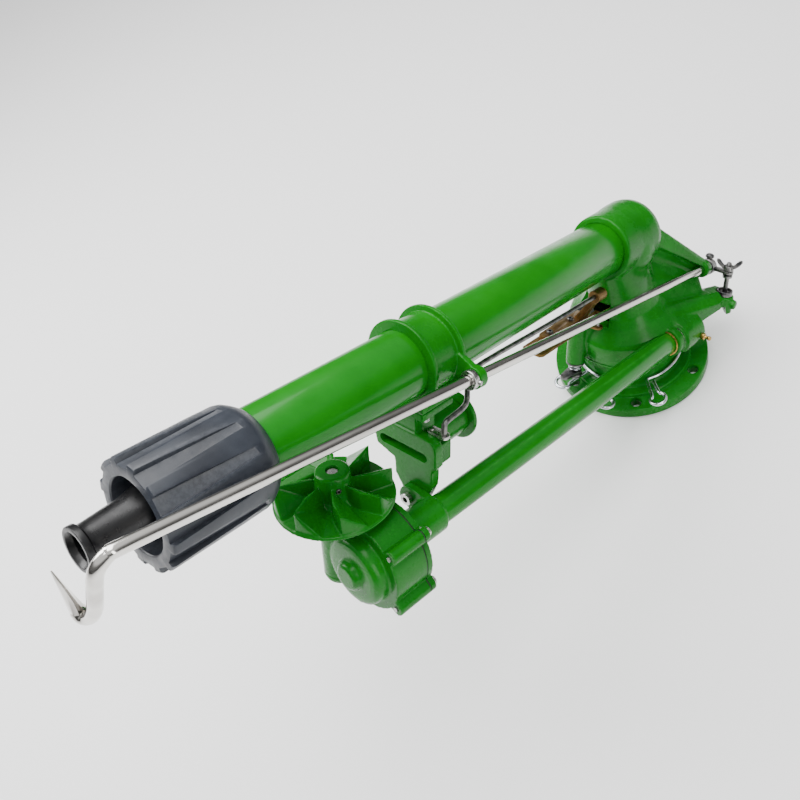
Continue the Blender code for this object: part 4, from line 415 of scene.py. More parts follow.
def wireLoop(angle, height, side):
    radial = Vector((math.cos(angle), math.sin(angle), 0))
    across = Vector((-radial.y, radial.x, 0)) * side
    spots = [radial * (wire["ring"] + 0.010) + across * 0.0045]
    for i in range(13):
        lift = math.radians(-150.0 + 25.0 * i)
        spots.append(radial * (wire["loopCentre"] + wire["loop"] * math.cos(lift))
                     - across * wire["loop"] * math.sin(lift))
    spots.append(radial * (wire["ring"] + 0.006) - across * 0.0015)
    last = len(spots) - 1
    return [Vector((p.x, p.y, height + 0.003 * (p.length - wire["ring"]) / (wire["loopCentre"] - wire["ring"])
                    + 0.0048 * (1 - i / last))) for i, p in enumerate(spots)]


def stopWire(name, node, body, start, end, height):
    start, end = math.radians(start), math.radians(end)
    way = 1 if end > start else -1
    route = wireLoop(start, height, way)
    count = max(8, int(abs(end - start) / math.radians(11.0)))
    for i in range(count + 1):
        angle = start + (end - start) * i / count
        route.append(Vector((wire["ring"] * math.cos(angle), wire["ring"] * math.sin(angle), height)))
    route += wireLoop(end, height, -way)[::-1]
    fitted(bentBar(smoothRoute(route, 4), wire["thick"], 4), name, "zincWire", body, [node])


stopWire("stopWireA", "stop_clip_a", "stop_a", -41.0, 284.0, 0.0290)
stopWire("stopWireB", "stop_clip_b", "stop_b", -114.0, -284.0, 0.0244)
print("base done")

# swivelling elbow with the bell over the worm ring, arms, tunnel and trip post
elbow = {"low": 0.0621, "bell": 0.068, "throat": 0.0375, "knee": 0.0415, "collar": 0.0373, "waterway": 0.028,
         "tunnel": 0.0215, "armRoot": (0.046, 0.012, 0.086), "armEnd": (0.082, 0.084, 0.060),
         "rearEye": (0.0600, -0.0570, -0.119), "eye": 0.0098, "eyeBore": 0.0053, "post": 0.0115,
         "spindleBore": 0.0043, "crankPocket": 0.036, "voxel": 0.0013}
bellShape = [(0, 0.192), (elbow["throat"], 0.192), (0.038, 0.135), (0.0400, 0.126), (0.0438, 0.1165),
             (0.051, 0.1065), (0.0575, 0.1005), (0.0635, 0.0950), (0.0668, 0.0905), (elbow["bell"], 0.0855),
             (elbow["bell"], elbow["low"]), (0, elbow["low"])]
forms = [turn(bellShape, ground, 96),
         skinOver(ballOf(barrelLine @ Vector((0.0, -0.010, -0.012)), elbow["knee"], 20, 40)),
         turn([(0, 0.031), (0.0363, 0.031), (elbow["collar"], 0.0295), (0.0380, 0.000), (0.0396, -0.018),
               (0.0400, -0.031), (0.0385, -0.0385), (0.0340, -0.0435), (0.0240, -0.0470), (0, -0.0480)],
              barrelLine, 96)]
armRoot, armEnd = Vector(elbow["armRoot"]), Vector(elbow["armEnd"])
armCorners = [armEnd + Vector((x, y, z)) for x in (-0.012, 0.008) for y in (-0.014, 0.011) for z in (-0.0145, 0.0115)]
forms += [skinOver(ballOf(armRoot, 0.020) + armCorners),
          bar(0.0062, 0.0, 0.0205, placeAt(armEnd, (1, 0, 0), (0, 0, 1)), 6),
          skinOver(ballOf((0.044, 0.010, 0.084), 0.020) + ringOf((0, 0, -0.002), 0.0206, driveLine)
                   + ringOf((0, 0, -0.034), 0.0206, driveLine)),
          bar(elbow["tunnel"], -0.038, 0.0, driveLine, 64),
          turn([(0, 0.0135), (0.0172, 0.0135), (0.018, 0.0127), (0.018, -0.002), (0, -0.002)], driveLine, 64)]
rearEye = moved(rodLine, z=(Vector(elbow["rearEye"]) - rodRear).length - 0.006)
webRoot = barrelLine @ Vector((0.020, -0.012, -0.034))
forms += [bar(elbow["eye"], 0.0, 0.012, rearEye, 48),
          skinOver([webRoot + Vector((0, y, z)) for y in (0, 0.008) for z in (0.030, -0.030)]
                   + [rearEye @ Vector((x, y, z)) for x, y in ((-0.004, 0.008), (-0.004, -0.008),
                                                               (-0.012, 0.006), (-0.012, -0.006))
                      for z in (0.002, 0.009)]),
          skinOver([webRoot + Vector((-0.004, y, z)) for y in (-0.012, 0.016) for z in (0.024, 0.030)]
                   + [rearEye @ Vector((x, y, z)) for x in (-0.006, 0.002) for y in (0.0045, 0.0095)
                      for z in (0.0, 0.012)]),
          skinOver(ballOf((0.020, 0.030, 0.152), 0.004, 6, 12) + ballOf((0.053, 0.080, 0.094), 0.004, 6, 12)
                   + ballOf((0.070, 0.062, 0.070), 0.006, 6, 12) + ballOf((0.040, 0.022, 0.098), 0.010, 6, 12)),
          bar(elbow["post"], -0.158, -0.104, tripLine, 48),
          skinOver(ringOf((0, 0, -0.106), 0.0103, tripLine) + ringOf((0, 0, -0.134), 0.0103, tripLine)
                   + ringOf((-0.006, -0.036, 0.106), 0.006) + ringOf((-0.010, -0.044, 0.082), 0.006)),
          bar(elbow["post"], -0.022, -gap, cupLine, 48)]
swivelElbow = machined(cast(forms, elbow["voxel"], 4), [
    bar(0.12, 0.0, elbow["low"], ground, 96),
    bar(0.0545, 0.03, 0.0814, ground, 96),
    bar(0.0480, 0.03, 0.1035, ground, 96),
    turn([(0, 0.192), (elbow["waterway"], 0.192), (elbow["waterway"], 0.128), (0.035, 0.112), (0.035, 0.095),
          (0, 0.095)], ground, 64),
    turn([(0, 0.041), (0.0308, 0.041), (0.0308, 0.0017), (elbow["waterway"], 0.0017),
          (elbow["waterway"], -0.012), (0, -0.012)], barrelLine, 96),
    turn([(0, 0.09), (0.0138, 0.09), (0.0138, 0.017), (0.0154, 0.017), (0.0154, 0.0135), (0.0138, 0.0135),
          (0.0138, 0.0039), (0.0180, 0.0039), (0.0180, -0.019), (0.0103, -0.019), (0.0103, -0.032),
          (0, -0.032)], driveLine, 64),
    bar(elbow["spindleBore"], -0.178, -0.074, tripLine, 32),
    bar(elbow["crankPocket"], -0.1040, -0.074, tripLine, 64),
    bar(0.0110, -gap, 0.03, cupLine, 48), bar(0.0065, -0.018, 0.01, cupLine, 32),
    bar(elbow["eyeBore"], -0.02, 0.05, rearEye, 32)])
fitted(swivelElbow, "swivelElbow", "castPaint", "gun", ["swivel_body"])

# closing ring under the bell and its screws
closing = {"inner": 0.0446, "outer": 0.068, "low": 0.0573, "high": 0.0618, "screws": (75.0, 145.0, 215.0, 285.0),
           "screwCircle": 0.06125, "head": 0.0034, "headTop": 0.0571, "headLow": 0.0556}
closingRing = machined(tube(closing["inner"], closing["outer"], closing["low"], closing["high"], ground, 128),
                       [bar(0.0218, -0.05, 0.05, driveLine, 64)])
fitted(rounded(closingRing, 0.0008, 2, 40.0), "closingRing", "castPaint", "gun", ["case_cover"])
headShape = [(0, closing["headTop"]), (closing["head"], closing["headTop"]), (closing["head"], 0.0563),
             (0.0028, 0.0557), (0, closing["headLow"])]
heads = [turn(headShape, moved(turnedBy(ground, angle, "Z"), x=closing["screwCircle"]), 24)
         for angle in closing["screws"]]
fitted(joined(heads), "closingScrews", "brightSteel", "gun")

# barrel tube
barrel = {"outer": 0.0305, "inner": 0.0275, "rear": 0.002, "front": 0.548}
fitted(rounded(tube(barrel["inner"], barrel["outer"], barrel["rear"], barrel["front"], barrelLine, 128), 0.0006),
       "barrelTube", "tubePaint", "gun", ["barrel"])

# clamp sleeve with its rolled edges, pad and rod eye
clamp = {"rear": 0.311, "front": 0.351, "flange": 0.0394, "lip": 0.004, "sleeve": 0.0338, "eye": 0.0098,
         "padHalf": 0.0245, "padLow": -0.0415, "seat": 0.0308, "eyeBore": 0.0053, "voxel": 0.0008}
slope = (barrelLine.inverted().to_3x3() @ rodLine.col[2].to_3d()).normalized()
frontEye = moved(rodLine, z=(clamp["rear"] - 0.001 - rodRear.z) / slope.z)
sleeve = turn([(clamp["flange"] - 0.0006, clamp["front"]), (clamp["flange"], clamp["front"] - 0.0006),
               (clamp["flange"], clamp["front"] - clamp["lip"]), (clamp["sleeve"], clamp["front"] - clamp["lip"]),
               (clamp["sleeve"], clamp["rear"] + clamp["lip"]), (clamp["flange"], clamp["rear"] + clamp["lip"]),
               (clamp["flange"], clamp["rear"] + 0.0006), (clamp["flange"] - 0.0006, clamp["rear"]),
               (0.0290, clamp["rear"]), (0.0290, clamp["front"])], barrelLine, 128)
barrelClamp = machined(
    cast([sleeve, brick((-clamp["padHalf"], clamp["padLow"], clamp["rear"]),
                        (clamp["padHalf"], -0.030, clamp["front"]), barrelLine),
          bar(clamp["eye"], 0.0, 0.009, frontEye, 48),
          skinOver([barrelLine @ Vector((x, y, z)) for x in (0.026, 0.0335) for y in (-0.014, 0.008)
                    for z in (clamp["rear"], clamp["rear"] + 0.006)]
                   + ringOf((0, 0, 0.001), 0.0078, frontEye) + ringOf((0, 0, 0.0075), 0.0078, frontEye))],
         clamp["voxel"], 3),
    [bar(clamp["seat"], 0.30, 0.36, barrelLine, 128), bar(clamp["eyeBore"], -0.02, 0.04, frontEye, 40)])
fitted(barrelClamp, "barrelClamp", "castPaint", "gun", ["barrel_clamp"])
print("barrel and clamp done")

# ribbed nut on the barrel's end
nut = {"rear": 0.508, "shoulder": 0.5206, "front": 0.5994, "radius": 0.0417, "mouth": 0.0285, "ribs": 12,
       "grooveFront": 0.0064, "grooveRear": 0.0030, "floor": 0.0366}
nutBody = turn([(nut["mouth"] + 0.0010, nut["front"]), (0.0400, nut["front"]), (0.0411, nut["front"] - 0.0006),
                (nut["radius"], nut["front"] - 0.0020), (0.0414, nut["shoulder"] + 0.020),
                (0.0410, nut["shoulder"]), (0.0402, nut["shoulder"] - 0.0034), (0.0380, nut["shoulder"] - 0.0070),
                (0.0345, nut["rear"] + 0.0010), (0.0332, nut["rear"]), (0.0308, nut["rear"]), (0.0308, 0.548),
                (0.0330, 0.548), (0.0330, 0.5558), (nut["mouth"], 0.5560), (nut["mouth"], nut["front"] - 0.0010)],
               barrelLine, 144)
grooves = []
for i in range(nut["ribs"]):
    place = turnedBy(barrelLine, 360.0 * i / nut["ribs"] + 8.0, "Z")
    front, rear = nut["grooveFront"], nut["grooveRear"]
    grooves.append(skinOver([place @ Vector(p) for p in (
        (nut["floor"], -front, nut["front"] + 0.004), (nut["floor"] + 0.0004, front, nut["front"] + 0.004),
        (0.0460, -front * 1.15, nut["front"] + 0.004), (0.0460, front * 1.5, nut["front"] + 0.004),
        (0.0395, -rear, nut["shoulder"] + 0.006), (0.0403, rear, nut["shoulder"] + 0.006),
        (0.0460, -rear, nut["shoulder"] - 0.004), (0.0460, rear, nut["shoulder"] - 0.004))]))
machined(nutBody, grooves)
fitted(rounded(nutBody, 0.0006, 2, 30.0), "ribbedNut", "greyNylon", "gun", ["nozzle_nut"])

# black nozzle with its lip
nozzle = {"root": 0.0265, "tip": 0.0140, "lip": 0.0161, "bore": 0.0105, "front": 0.6395}
nozzleTip = turn([(0.0158, nozzle["front"]), (nozzle["lip"], 0.6390), (nozzle["lip"], 0.6350), (0.0157, 0.6345),
                  (nozzle["tip"], 0.6338), (nozzle["tip"], 0.6300), (0.0160, 0.605), (0.0205, 0.582),
                  (nozzle["root"], 0.5588), (nozzle["root"], 0.5556), (0.0322, 0.5556), (0.0322, 0.5517),
                  (0.0240, 0.5517), (0.0115, 0.610), (nozzle["bore"], 0.6355), (0.0128, nozzle["front"])],
                 barrelLine, 96)
fitted(rounded(nozzleTip, 0.0004), "nozzleTip", "blackNylon", "gun", ["nozzle"])
print("nut and nozzle done")

# jet-breaker rod with its forged hook and spear
breaker = {"radius": 0.0050,
           "hook": [(0.0460, 0.0262, 0.634), (0.0450, 0.0255, 0.640), (0.0435, 0.0205, 0.6455),
                    (0.0400, 0.012, 0.6480), (0.0330, -0.006, 0.6475), (0.0245, -0.024, 0.6460),
                    (0.0185, -0.0345, 0.6460), (0.0125, -0.0405, 0.6465), (0.0080, -0.0415, 0.6480),
                    (0.0050, -0.0375, 0.6490)],
           "tip": (0.0, -0.0040, 0.6560),
           "spear": ((-0.10, 0.0046, 0.0046), (0.12, 0.0062, 0.0032), (0.32, 0.0070, 0.0020),
                     (0.62, 0.0052, 0.0014), (0.85, 0.0025, 0.0009), (1.0, 0.0004, 0.0004))}
bend = [barrelLine @ Vector(p) for p in breaker["hook"]]
start = rodLine.translation
route = [start] + [start.lerp(bend[0], share) for share in (0.25, 0.5, 0.75, 0.95)] + bend
tail, tip = Vector(breaker["hook"][-1]), Vector(breaker["tip"])
ahead = (tip - tail).normalized()
wide = Vector((0, 0, 1)).cross(ahead).normalized()
thin = ahead.cross(wide).normalized()
spear = []
for share, halfWidth, halfDepth in breaker["spear"]:
    middle = tail + (tip - tail) * share
    for a, b in ((1, 0.45), (1, -0.45), (-1, 0.45), (-1, -0.45), (0.5, 1), (0.5, -1), (-0.5, 1), (-0.5, -1)):
        spear.append(barrelLine @ (middle + wide * halfWidth * a + thin * halfDepth * b))
hookRod = fusedWith(bentBar(smoothRoute(route, 8), breaker["radius"], 7), skinOver(spear))
fitted(hookRod, "jetBreaker", "polishedRod", "breaker", ["jet_breaker_rod"])

# set collar against the front eye
stopCollar = {"radius": 0.0088, "bore": 0.0053, "low": 0.0093, "high": 0.0155, "edge": 0.0006, "screw": 0.0022,
              "screwTop": 0.0112, "screwFoot": 0.0060, "screwAlong": 0.0124, "screwTurn": 105.0}
setCollar = turn([(stopCollar["radius"] - stopCollar["edge"], stopCollar["high"]),
                  (stopCollar["radius"], stopCollar["high"] - stopCollar["edge"]),
                  (stopCollar["radius"], stopCollar["low"] + stopCollar["edge"]),
                  (stopCollar["radius"] - stopCollar["edge"], stopCollar["low"]),
                  (stopCollar["bore"], stopCollar["low"]), (stopCollar["bore"], stopCollar["high"])], frontEye, 48)
collarScrew = turn([(0, stopCollar["screwTop"]), (0.0018, stopCollar["screwTop"]), (stopCollar["screw"], 0.0108),
                    (stopCollar["screw"], stopCollar["screwFoot"]), (0, stopCollar["screwFoot"])],
                   turnedBy(moved(frontEye, z=stopCollar["screwAlong"]), stopCollar["screwTurn"], "Y"), 20)
fitted(rounded(joined([setCollar, collarScrew]), 0.0003), "rodCollar", "brightSteel", "breaker", ["rod_collar"])

# clamp at the rod's rear with its arm and knob
rearClamp = {"hub": 0.0098, "inside": 0.0045, "long": 0.0100, "edge": 0.0006, "bore": 0.0053, "armRoot": 0.010,
             "armRootRadius": 0.0048, "armReach": 0.026, "armEndRadius": 0.0064, "armHalf": 0.0018,
             "studHole": 0.0039}
clampPlace = moved(rodLine, z=-0.001)
armPlace = turnedBy(moved(rodLine, z=0.0035), -90, "X")
hub = turn([(rearClamp["hub"] - rearClamp["edge"], rearClamp["long"]),
            (rearClamp["hub"], rearClamp["long"] - rearClamp["edge"]), (rearClamp["hub"], rearClamp["edge"]),
            (rearClamp["hub"] - rearClamp["edge"], 0.0), (rearClamp["inside"], 0.0),
            (rearClamp["inside"], rearClamp["long"])], clampPlace, 64)
armShape = arc((rearClamp["armRoot"], 0.0), rearClamp["armRootRadius"], 90, 270)
armShape += arc((rearClamp["armReach"], 0.0), rearClamp["armEndRadius"], -90, 90)
arm = rounded(slab(armShape, -rearClamp["armHalf"], rearClamp["armHalf"], armPlace), 0.0005)
machined(fusedWith(hub, arm), [bar(rearClamp["bore"], -0.02, 0.03, clampPlace, 40),
                               bar(rearClamp["studHole"], -0.01, 0.01, moved(armPlace, x=rearClamp["armReach"]), 32)])
fitted(hub, "rodClamp", "darkSteel", "breaker", ["rod_clamp"])
grip = {"radius": 0.0052, "neck": 0.0036, "foot": 0.0098, "low": 0.0118, "high": 0.0136, "top": 0.0162}
knob = turn([(0, grip["top"]), (0.0030, grip["top"]), (0.0048, 0.0150), (grip["radius"], grip["high"]),
             (grip["radius"], grip["low"]), (grip["neck"], 0.0112), (grip["neck"], grip["foot"]),
             (0, grip["foot"])], armPlace, 36)
fitted(rounded(knob, 0.0003), "clampKnob", "darkSteel", "breaker", ["clamp_knob"])

# plunger stud, wing nut and cup
stud = {"radius": 0.0030, "top": 0.0125, "foot": -0.0380, "threads": 3, "threadTop": 0.0120, "pitch": 0.0010,
        "depth": 0.00028, "shoulder": 0.0058, "shoulderTop": -0.0034, "shoulderLow": -0.0064}
threadShape = []
for i in range(stud["threads"]):
    top = stud["threadTop"] - stud["pitch"] * i
    threadShape += [(stud["radius"] - stud["depth"], top - 0.0001), (stud["radius"], top - 0.00045)]
studShape = [(0, stud["top"]), (0.0024, stud["top"])] + threadShape
studShape += [(stud["radius"], 0.0085), (stud["radius"], stud["shoulderTop"]),
              (stud["shoulder"], stud["shoulderTop"]), (stud["shoulder"], stud["shoulderLow"]),
              (stud["radius"], stud["shoulderLow"]), (stud["radius"], stud["foot"]), (0, stud["foot"])]
fitted(turn(studShape, studLine, 36), "plungerStud", "darkSteel", "plunger", ["plunger"])
wing = {"outline": [(0.0040, 0.0040), (0.0075, 0.0052), (0.0105, 0.0075), (0.0132, 0.0105), (0.0150, 0.0135),
                    (0.0151, 0.0158), (0.0134, 0.0167), (0.0112, 0.0160), (0.0090, 0.0135), (0.0065, 0.0105),
                    (0.0040, 0.0086)],
        "half": 0.0012, "round": 0.0007, "turned": 25.0, "base": 0.0062, "low": 0.0033, "high": 0.0088,
        "bore": 0.0033}
nutBase = turn([(0.0050, wing["high"]), (0.0056, 0.0080), (wing["base"], wing["low"]),
                (wing["bore"], wing["low"]), (wing["bore"], wing["high"])], studLine, 40)
for side in (-1, 1):
    place = turnedBy(turnedBy(studLine, wing["turned"], "Z"), 90, "X")
    fusedWith(nutBase, rounded(slab([(x * side, y) for x, y in wing["outline"]], -wing["half"], wing["half"], place),
                               wing["round"], 3))
fitted(nutBase, "wingNut", "darkSteel", "wing_nut", ["wing_nut"])
cupSize = {"rim": 0.0095, "high": 0.0065, "edge": 0.0006, "stem": 0.0062, "deep": -0.0100, "bore": 0.0036}
cup = turn([(cupSize["rim"] - cupSize["edge"], cupSize["high"]), (cupSize["rim"], cupSize["high"] - cupSize["edge"]),
            (cupSize["rim"], 0.0), (cupSize["stem"], 0.0), (cupSize["stem"], cupSize["deep"]),
            (cupSize["bore"], cupSize["deep"]), (cupSize["bore"], 0.0015), (0.0073, 0.0032), (0.0077, 0.0060)],
           cupLine, 48)
fitted(rounded(cup, 0.0003), "plungerCup", "darkSteel", "gun", ["plunger_cup"])
print("jet breaker done")

# hanger under the clamp, with its slotted face and the spring drum
hanger = {"face": 0.350, "thick": 0.010, "slotHalf": 0.028, "slotHeight": 0.009, "slotCentre": -0.0865,
          "drum": 0.0175, "drumBore": 0.011, "drumDrop": -0.0885, "drumRear": 0.279, "padTop": -0.0418,
          "foot": (0.013, -0.130), "footBore": 0.0031, "pinBore": 0.0029, "voxel": 0.0009}
hangerScrew = {"apart": 0.0190, "along": 0.3425, "seat": 0.0488, "head": 0.0045, "height": 0.004,
               "shank": 0.0022, "reach": 0.0115}
faceShape = arc((0.028, -0.076), 0.010, 90, 0, 8) + [(0.038, -0.092), (0.034, -0.098), (0.033, -0.115)]
faceShape += arc((0.013, -0.130), 0.0125, -20, -165, 20) + [(-0.010, -0.118), (-0.011, -0.102), (-0.032, -0.095)]
faceShape += arc((-0.028, -0.076), 0.010, 180, 90, 8)
drumLine = moved(barrelLine, y=hanger["drumDrop"])
footLine = moved(barrelLine, *hanger["foot"], hanger["face"] + gap)
jetHanger = machined(
    cast([brick((-clamp["padHalf"], -0.0488, clamp["rear"]), (clamp["padHalf"], hanger["padTop"], clamp["front"]),
                barrelLine),
          brick((-0.014, -0.070, 0.323), (0.014, -0.0458, 0.348), barrelLine),
          slab(faceShape, hanger["face"] - hanger["thick"], hanger["face"], barrelLine),
          brick((-0.033, -0.097, 0.323), (0.033, -0.076, 0.349), barrelLine),
          bar(hanger["drum"], hanger["drumRear"], 0.327, drumLine, 72)], hanger["voxel"], 4),
    [slab(slotOutline(hanger["slotHalf"], hanger["slotHeight"] / 2, hanger["slotCentre"]), 0.328, 0.36,
          barrelLine),
     bar(hanger["drumBore"], 0.269, 0.322, drumLine, 48),
     bar(hanger["pinBore"], -0.0865, -0.056, deflectorLine, 24), bar(hanger["footBore"], -0.03, 0.04, footLine, 24),
     brick((-0.03, hanger["padTop"], 0.30), (0.03, -0.03, 0.36), barrelLine)]
    + [bar(0.0025, -0.06, -0.03, moved(upright, side * hangerScrew["apart"], -hangerScrew["along"]), 24)
       for side in (-1, 1)])
fitted(jetHanger, "jetHanger", "castPaint", "gun", ["jet_bracket"])
cap = {"spigot": 0.0107, "inside": 0.287, "seat": 0.2787, "rim": 0.0240, "dish": 0.2745, "rear": 0.2737}
drumCap = turn([(0, cap["inside"]), (cap["spigot"], cap["inside"]), (cap["spigot"], cap["seat"]),
                (0.0234, cap["seat"]), (cap["rim"], 0.2781), (cap["rim"], cap["dish"]), (0.0232, cap["rear"]),
                (0.0120, cap["rear"]), (0.0105, cap["dish"]), (0, cap["dish"])], drumLine, 72)
fitted(rounded(drumCap, 0.0004), "drumCap", "castPaint", "gun", ["drum_cap"])


def capScrew(name, node, place, size, finish="brightSteel", body="gun"):
    seat, head, shank = size["seat"], size["head"], size["shank"]
    top, foot = seat + size["height"], seat - size["reach"]
    screw = turn([(0, top), (head - 0.0005, top), (head, top - 0.0006), (head, seat + gap), (shank, seat + gap),
                  (shank, foot), (0, foot)], place, 32)
    machined(screw, [bar(head * 0.52, seat + size["height"] * 0.35, top + 0.002, place, 6)])
    fitted(screw, name, finish, body, [node])


down = turnedBy(upright, 180, "X")
for side, label in ((-1, "Left"), (1, "Right")):
    capScrew(f"hangerScrew{label}", f"bracket_bolt_{label.lower()}",
             moved(down, side * hangerScrew["apart"], hangerScrew["along"]), hangerScrew)
footScrew = {"seat": 0.008, "head": 0.0058, "height": 0.0045, "shank": 0.0028, "reach": 0.018}
capScrew("footScrew", "bracket_screw", footLine, footScrew)

# swinging deflector blade with its pin and crank
blade = {"pin": 0.0026, "pinLow": -0.0900, "pinHigh": -0.0617, "reach": -0.031, "half": 0.0010, "low": -0.0897,
         "high": -0.0833, "crankHub": 0.0045, "crankReach": 0.014, "crankEnd": 0.0050, "crankLow": -0.0657,
         "crankHigh": -0.0627}
crankShape = arc((0, 0), blade["crankHub"], 90, 270) + arc((blade["crankReach"], 0), blade["crankEnd"], -90, 90)
deflector = joined([
    bar(blade["pin"], blade["pinLow"], blade["pinHigh"], deflectorLine, 32),
    brick((blade["reach"], -blade["half"], blade["low"]), (0.0, blade["half"], blade["high"]), deflectorLine),
    slab(crankShape, blade["crankLow"], blade["crankHigh"], deflectorLine)])
fitted(rounded(deflector, 0.0003), "deflectorBlade", "brightSteel", "deflector", ["deflector"])
print("hanger done")

# lobed gear case in two halves
case = {"radius": 0.0408, "lug": 0.0066, "lugCircle": 0.0440, "lugAngles": (-31, 41, 113, 257), "lugBore": 0.0025,
        "rear": 0.4440, "rearSeam": 0.4495, "frontSeam": 0.4509, "front": 0.4840, "nose": 0.0170, "noseRear": 0.400,
        "tubeSeat": 0.0138, "bearing": 0.0082, "cavity": 0.0285, "cavityFront": 0.4900, "shaftBore": 0.0085,
        "wormBore": 0.0128, "voxel": 0.0008}
lugs = [(case["lugCircle"] * math.cos(math.radians(a)), case["lugCircle"] * math.sin(math.radians(a)))
        for a in case["lugAngles"]]


def caseOutline(radius, lugRadius, count=180):
    outline = []
    for i in range(count):
        angle = 2 * math.pi * i / count
        reach = radius
        for x, y in lugs:
            along = x * math.cos(angle) + y * math.sin(angle)
            off = abs(-x * math.sin(angle) + y * math.cos(angle))
            if along > 0 and off < lugRadius:
                reach = max(reach, along + math.sqrt(lugRadius ** 2 - off ** 2))
        outline.append((reach * math.cos(angle), reach * math.sin(angle)))
    return outline


def lugDrills():
    return [bar(case["lugBore"], 0.43, 0.50, moved(driveLine, x, y), 24) for x, y in lugs]


foot = barrelLine.inverted() @ (driveLine @ Vector((0, 0, 0.408)))
footForm = []
for z in (0.0, 0.008):
    footForm += ringOf((0, 0, z), 0.0110) + ringOf((foot.x - 0.013, foot.y + 0.130, z), 0.0148)
caseRear = machined(
    cast([slab(caseOutline(case["radius"], case["lug"]), case["rear"], 0.4503, driveLine),
          turn([(0, 0.446), (case["nose"], 0.446), (case["nose"], 0.4005), (0.0165, case["noseRear"]),
                (0, case["noseRear"])], driveLine, 72),
          skinOver([footLine @ p for p in footForm])], case["voxel"], 3),
    [turn([(0, 0.46), (case["bearing"], 0.46), (case["bearing"], 0.4445), (case["tubeSeat"], 0.4445),
           (case["tubeSeat"], 0.38), (0, 0.38)], driveLine, 72),
     bar(hanger["footBore"], -0.01, 0.018, footLine, 32), bar(0.08, case["rearSeam"], 0.46, driveLine, 64)]
    + lugDrills())
fitted(caseRear, "caseRear", "castPaint", "gun", ["gear_case_rear"])
caseFront = machined(
    cast([slab(caseOutline(case["radius"], case["lug"]), 0.4497, case["front"], driveLine),
          turn([(0, 0.5035), (0.0095, 0.5035), (0.0118, 0.5022), (0.0130, 0.5000), (0.0140, 0.4972),
                (0.0235, 0.4968), (0.0275, 0.4960), (0.0302, 0.4940), (0.0314, 0.4905), (0.0320, 0.4830),
                (0, 0.4800)], driveLine, 96),
          turn([(0, 0.040), (0.0115, 0.040), (0.0125, 0.0345), (0.0135, 0.028), (0.0155, 0.020),
                (0.0155, -0.0275), (0, -0.0275)], turbineLine, 64)], case["voxel"], 3),
    [bar(0.0170, -0.06, -0.0265, turbineLine, 64), bar(0.08, 0.44, case["frontSeam"], driveLine, 64),
     bar(case["cavity"], 0.44, case["cavityFront"], driveLine, 64), bar(case["bearing"], 0.48, 0.5005, driveLine, 48),
     turn([(0, 0.05), (case["shaftBore"], 0.05), (case["shaftBore"], 0.014), (case["wormBore"], 0.014),
           (case["wormBore"], -0.04), (0, -0.04)], turbineLine, 48)] + lugDrills())
fitted(caseFront, "caseFront", "castPaint", "gun", ["gear_case_front"])
gasketSize = {"radius": 0.0404, "lug": 0.0062, "low": 0.4498, "high": 0.4506, "bore": 0.0305}
gasket = machined(slab(caseOutline(gasketSize["radius"], gasketSize["lug"]), gasketSize["low"], gasketSize["high"],
                       driveLine), [bar(gasketSize["bore"], 0.44, 0.46, driveLine, 64)] + lugDrills())
fitted(gasket, "caseGasket", "sealRubber", "gun", ["case_gasket"])
caseScrew = {"seat": -0.4440, "head": 0.0042, "height": 0.0030, "shank": 0.0022, "reach": 0.0412}
backward = turnedBy(driveLine, 180, "X")
for i, (x, y) in enumerate(lugs):
    capScrew(f"caseScrew{i + 1}", f"gear_case_screw_{i + 1}", moved(backward, x, -y), caseScrew)
plugSize = {"spigot": 0.0125, "top": -0.0205, "seat": -0.0268, "rim": 0.0155, "rimLow": -0.0306, "grip": 0.0142,
            "foot": -0.0338}
plug = turn([(0, plugSize["top"]), (plugSize["spigot"], plugSize["top"]), (plugSize["spigot"], plugSize["seat"]),
             (plugSize["rim"], plugSize["seat"]), (plugSize["rim"], plugSize["rimLow"]),
             (plugSize["grip"], -0.0318), (plugSize["grip"], plugSize["foot"]), (0, plugSize["foot"])],
            turbineLine, 64)
fitted(rounded(plug, 0.0005), "bottomPlug", "castPaint", "gun", ["bottom_plug"])

# turbine wheel with ramped vanes on a thin disc, and the screw in its hub
wheel = {"rim": 0.0505, "plate": 0.049, "hubTop": 0.078, "vanes": 8, "vaneHigh": 0.070, "vaneLow": 0.0522,
         "vaneLine": ((0.0135, 0.0), (0.0300, 4.0), (0.0487, 12.0)), "rampTurn": 26.0, "bore": 0.0055,
         "screwHigh": 0.067, "screwBore": 0.0025, "voxel": 0.0008}
forms = [turn([(0, wheel["hubTop"]), (0.0130, wheel["hubTop"]), (0.0145, 0.0765), (0.0152, 0.062),
               (0.0166, 0.0555), (0.0200, 0.052), (0.0495, 0.052), (wheel["rim"], 0.0510),
               (wheel["rim"], wheel["plate"]), (0.0165, wheel["plate"]), (0.0145, 0.046), (0, 0.046)],
              turbineLine, 96)]
for i in range(wheel["vanes"]):
    ramp = []
    for k in range(7):
        lift = wheel["vaneHigh"] - (wheel["vaneHigh"] - wheel["vaneLow"]) * math.sin(math.pi / 2 * k / 6)
        for radius, lean in wheel["vaneLine"]:
            angle = math.radians(lean + wheel["rampTurn"] * k / 6)
            for height in (0.0510, lift):
                ramp.append(turnedBy(turbineLine, i * 360.0 / wheel["vanes"], "Z")
                            @ Vector((radius * math.cos(angle), radius * math.sin(angle), height)))
    forms.append(skinOver(ramp))
hubSide = turnedBy(turnedBy(moved(turbineLine, z=wheel["screwHigh"]), 90, "Y"), 22.5, "X")
turbineWheel = machined(cast(forms, wheel["voxel"], 3),
                        [bar(wheel["bore"], 0.029, 0.09, turbineLine, 40),
                         bar(wheel["screwBore"], 0.0032, 0.03, hubSide, 24)])
fitted(turbineWheel, "turbineWheel", "castPaint", "turbine", ["turbine_wheel"])
grub = {"radius": 0.0022, "top": 0.0160, "foot": 0.0055, "socket": 0.0012, "socketFloor": 0.013}
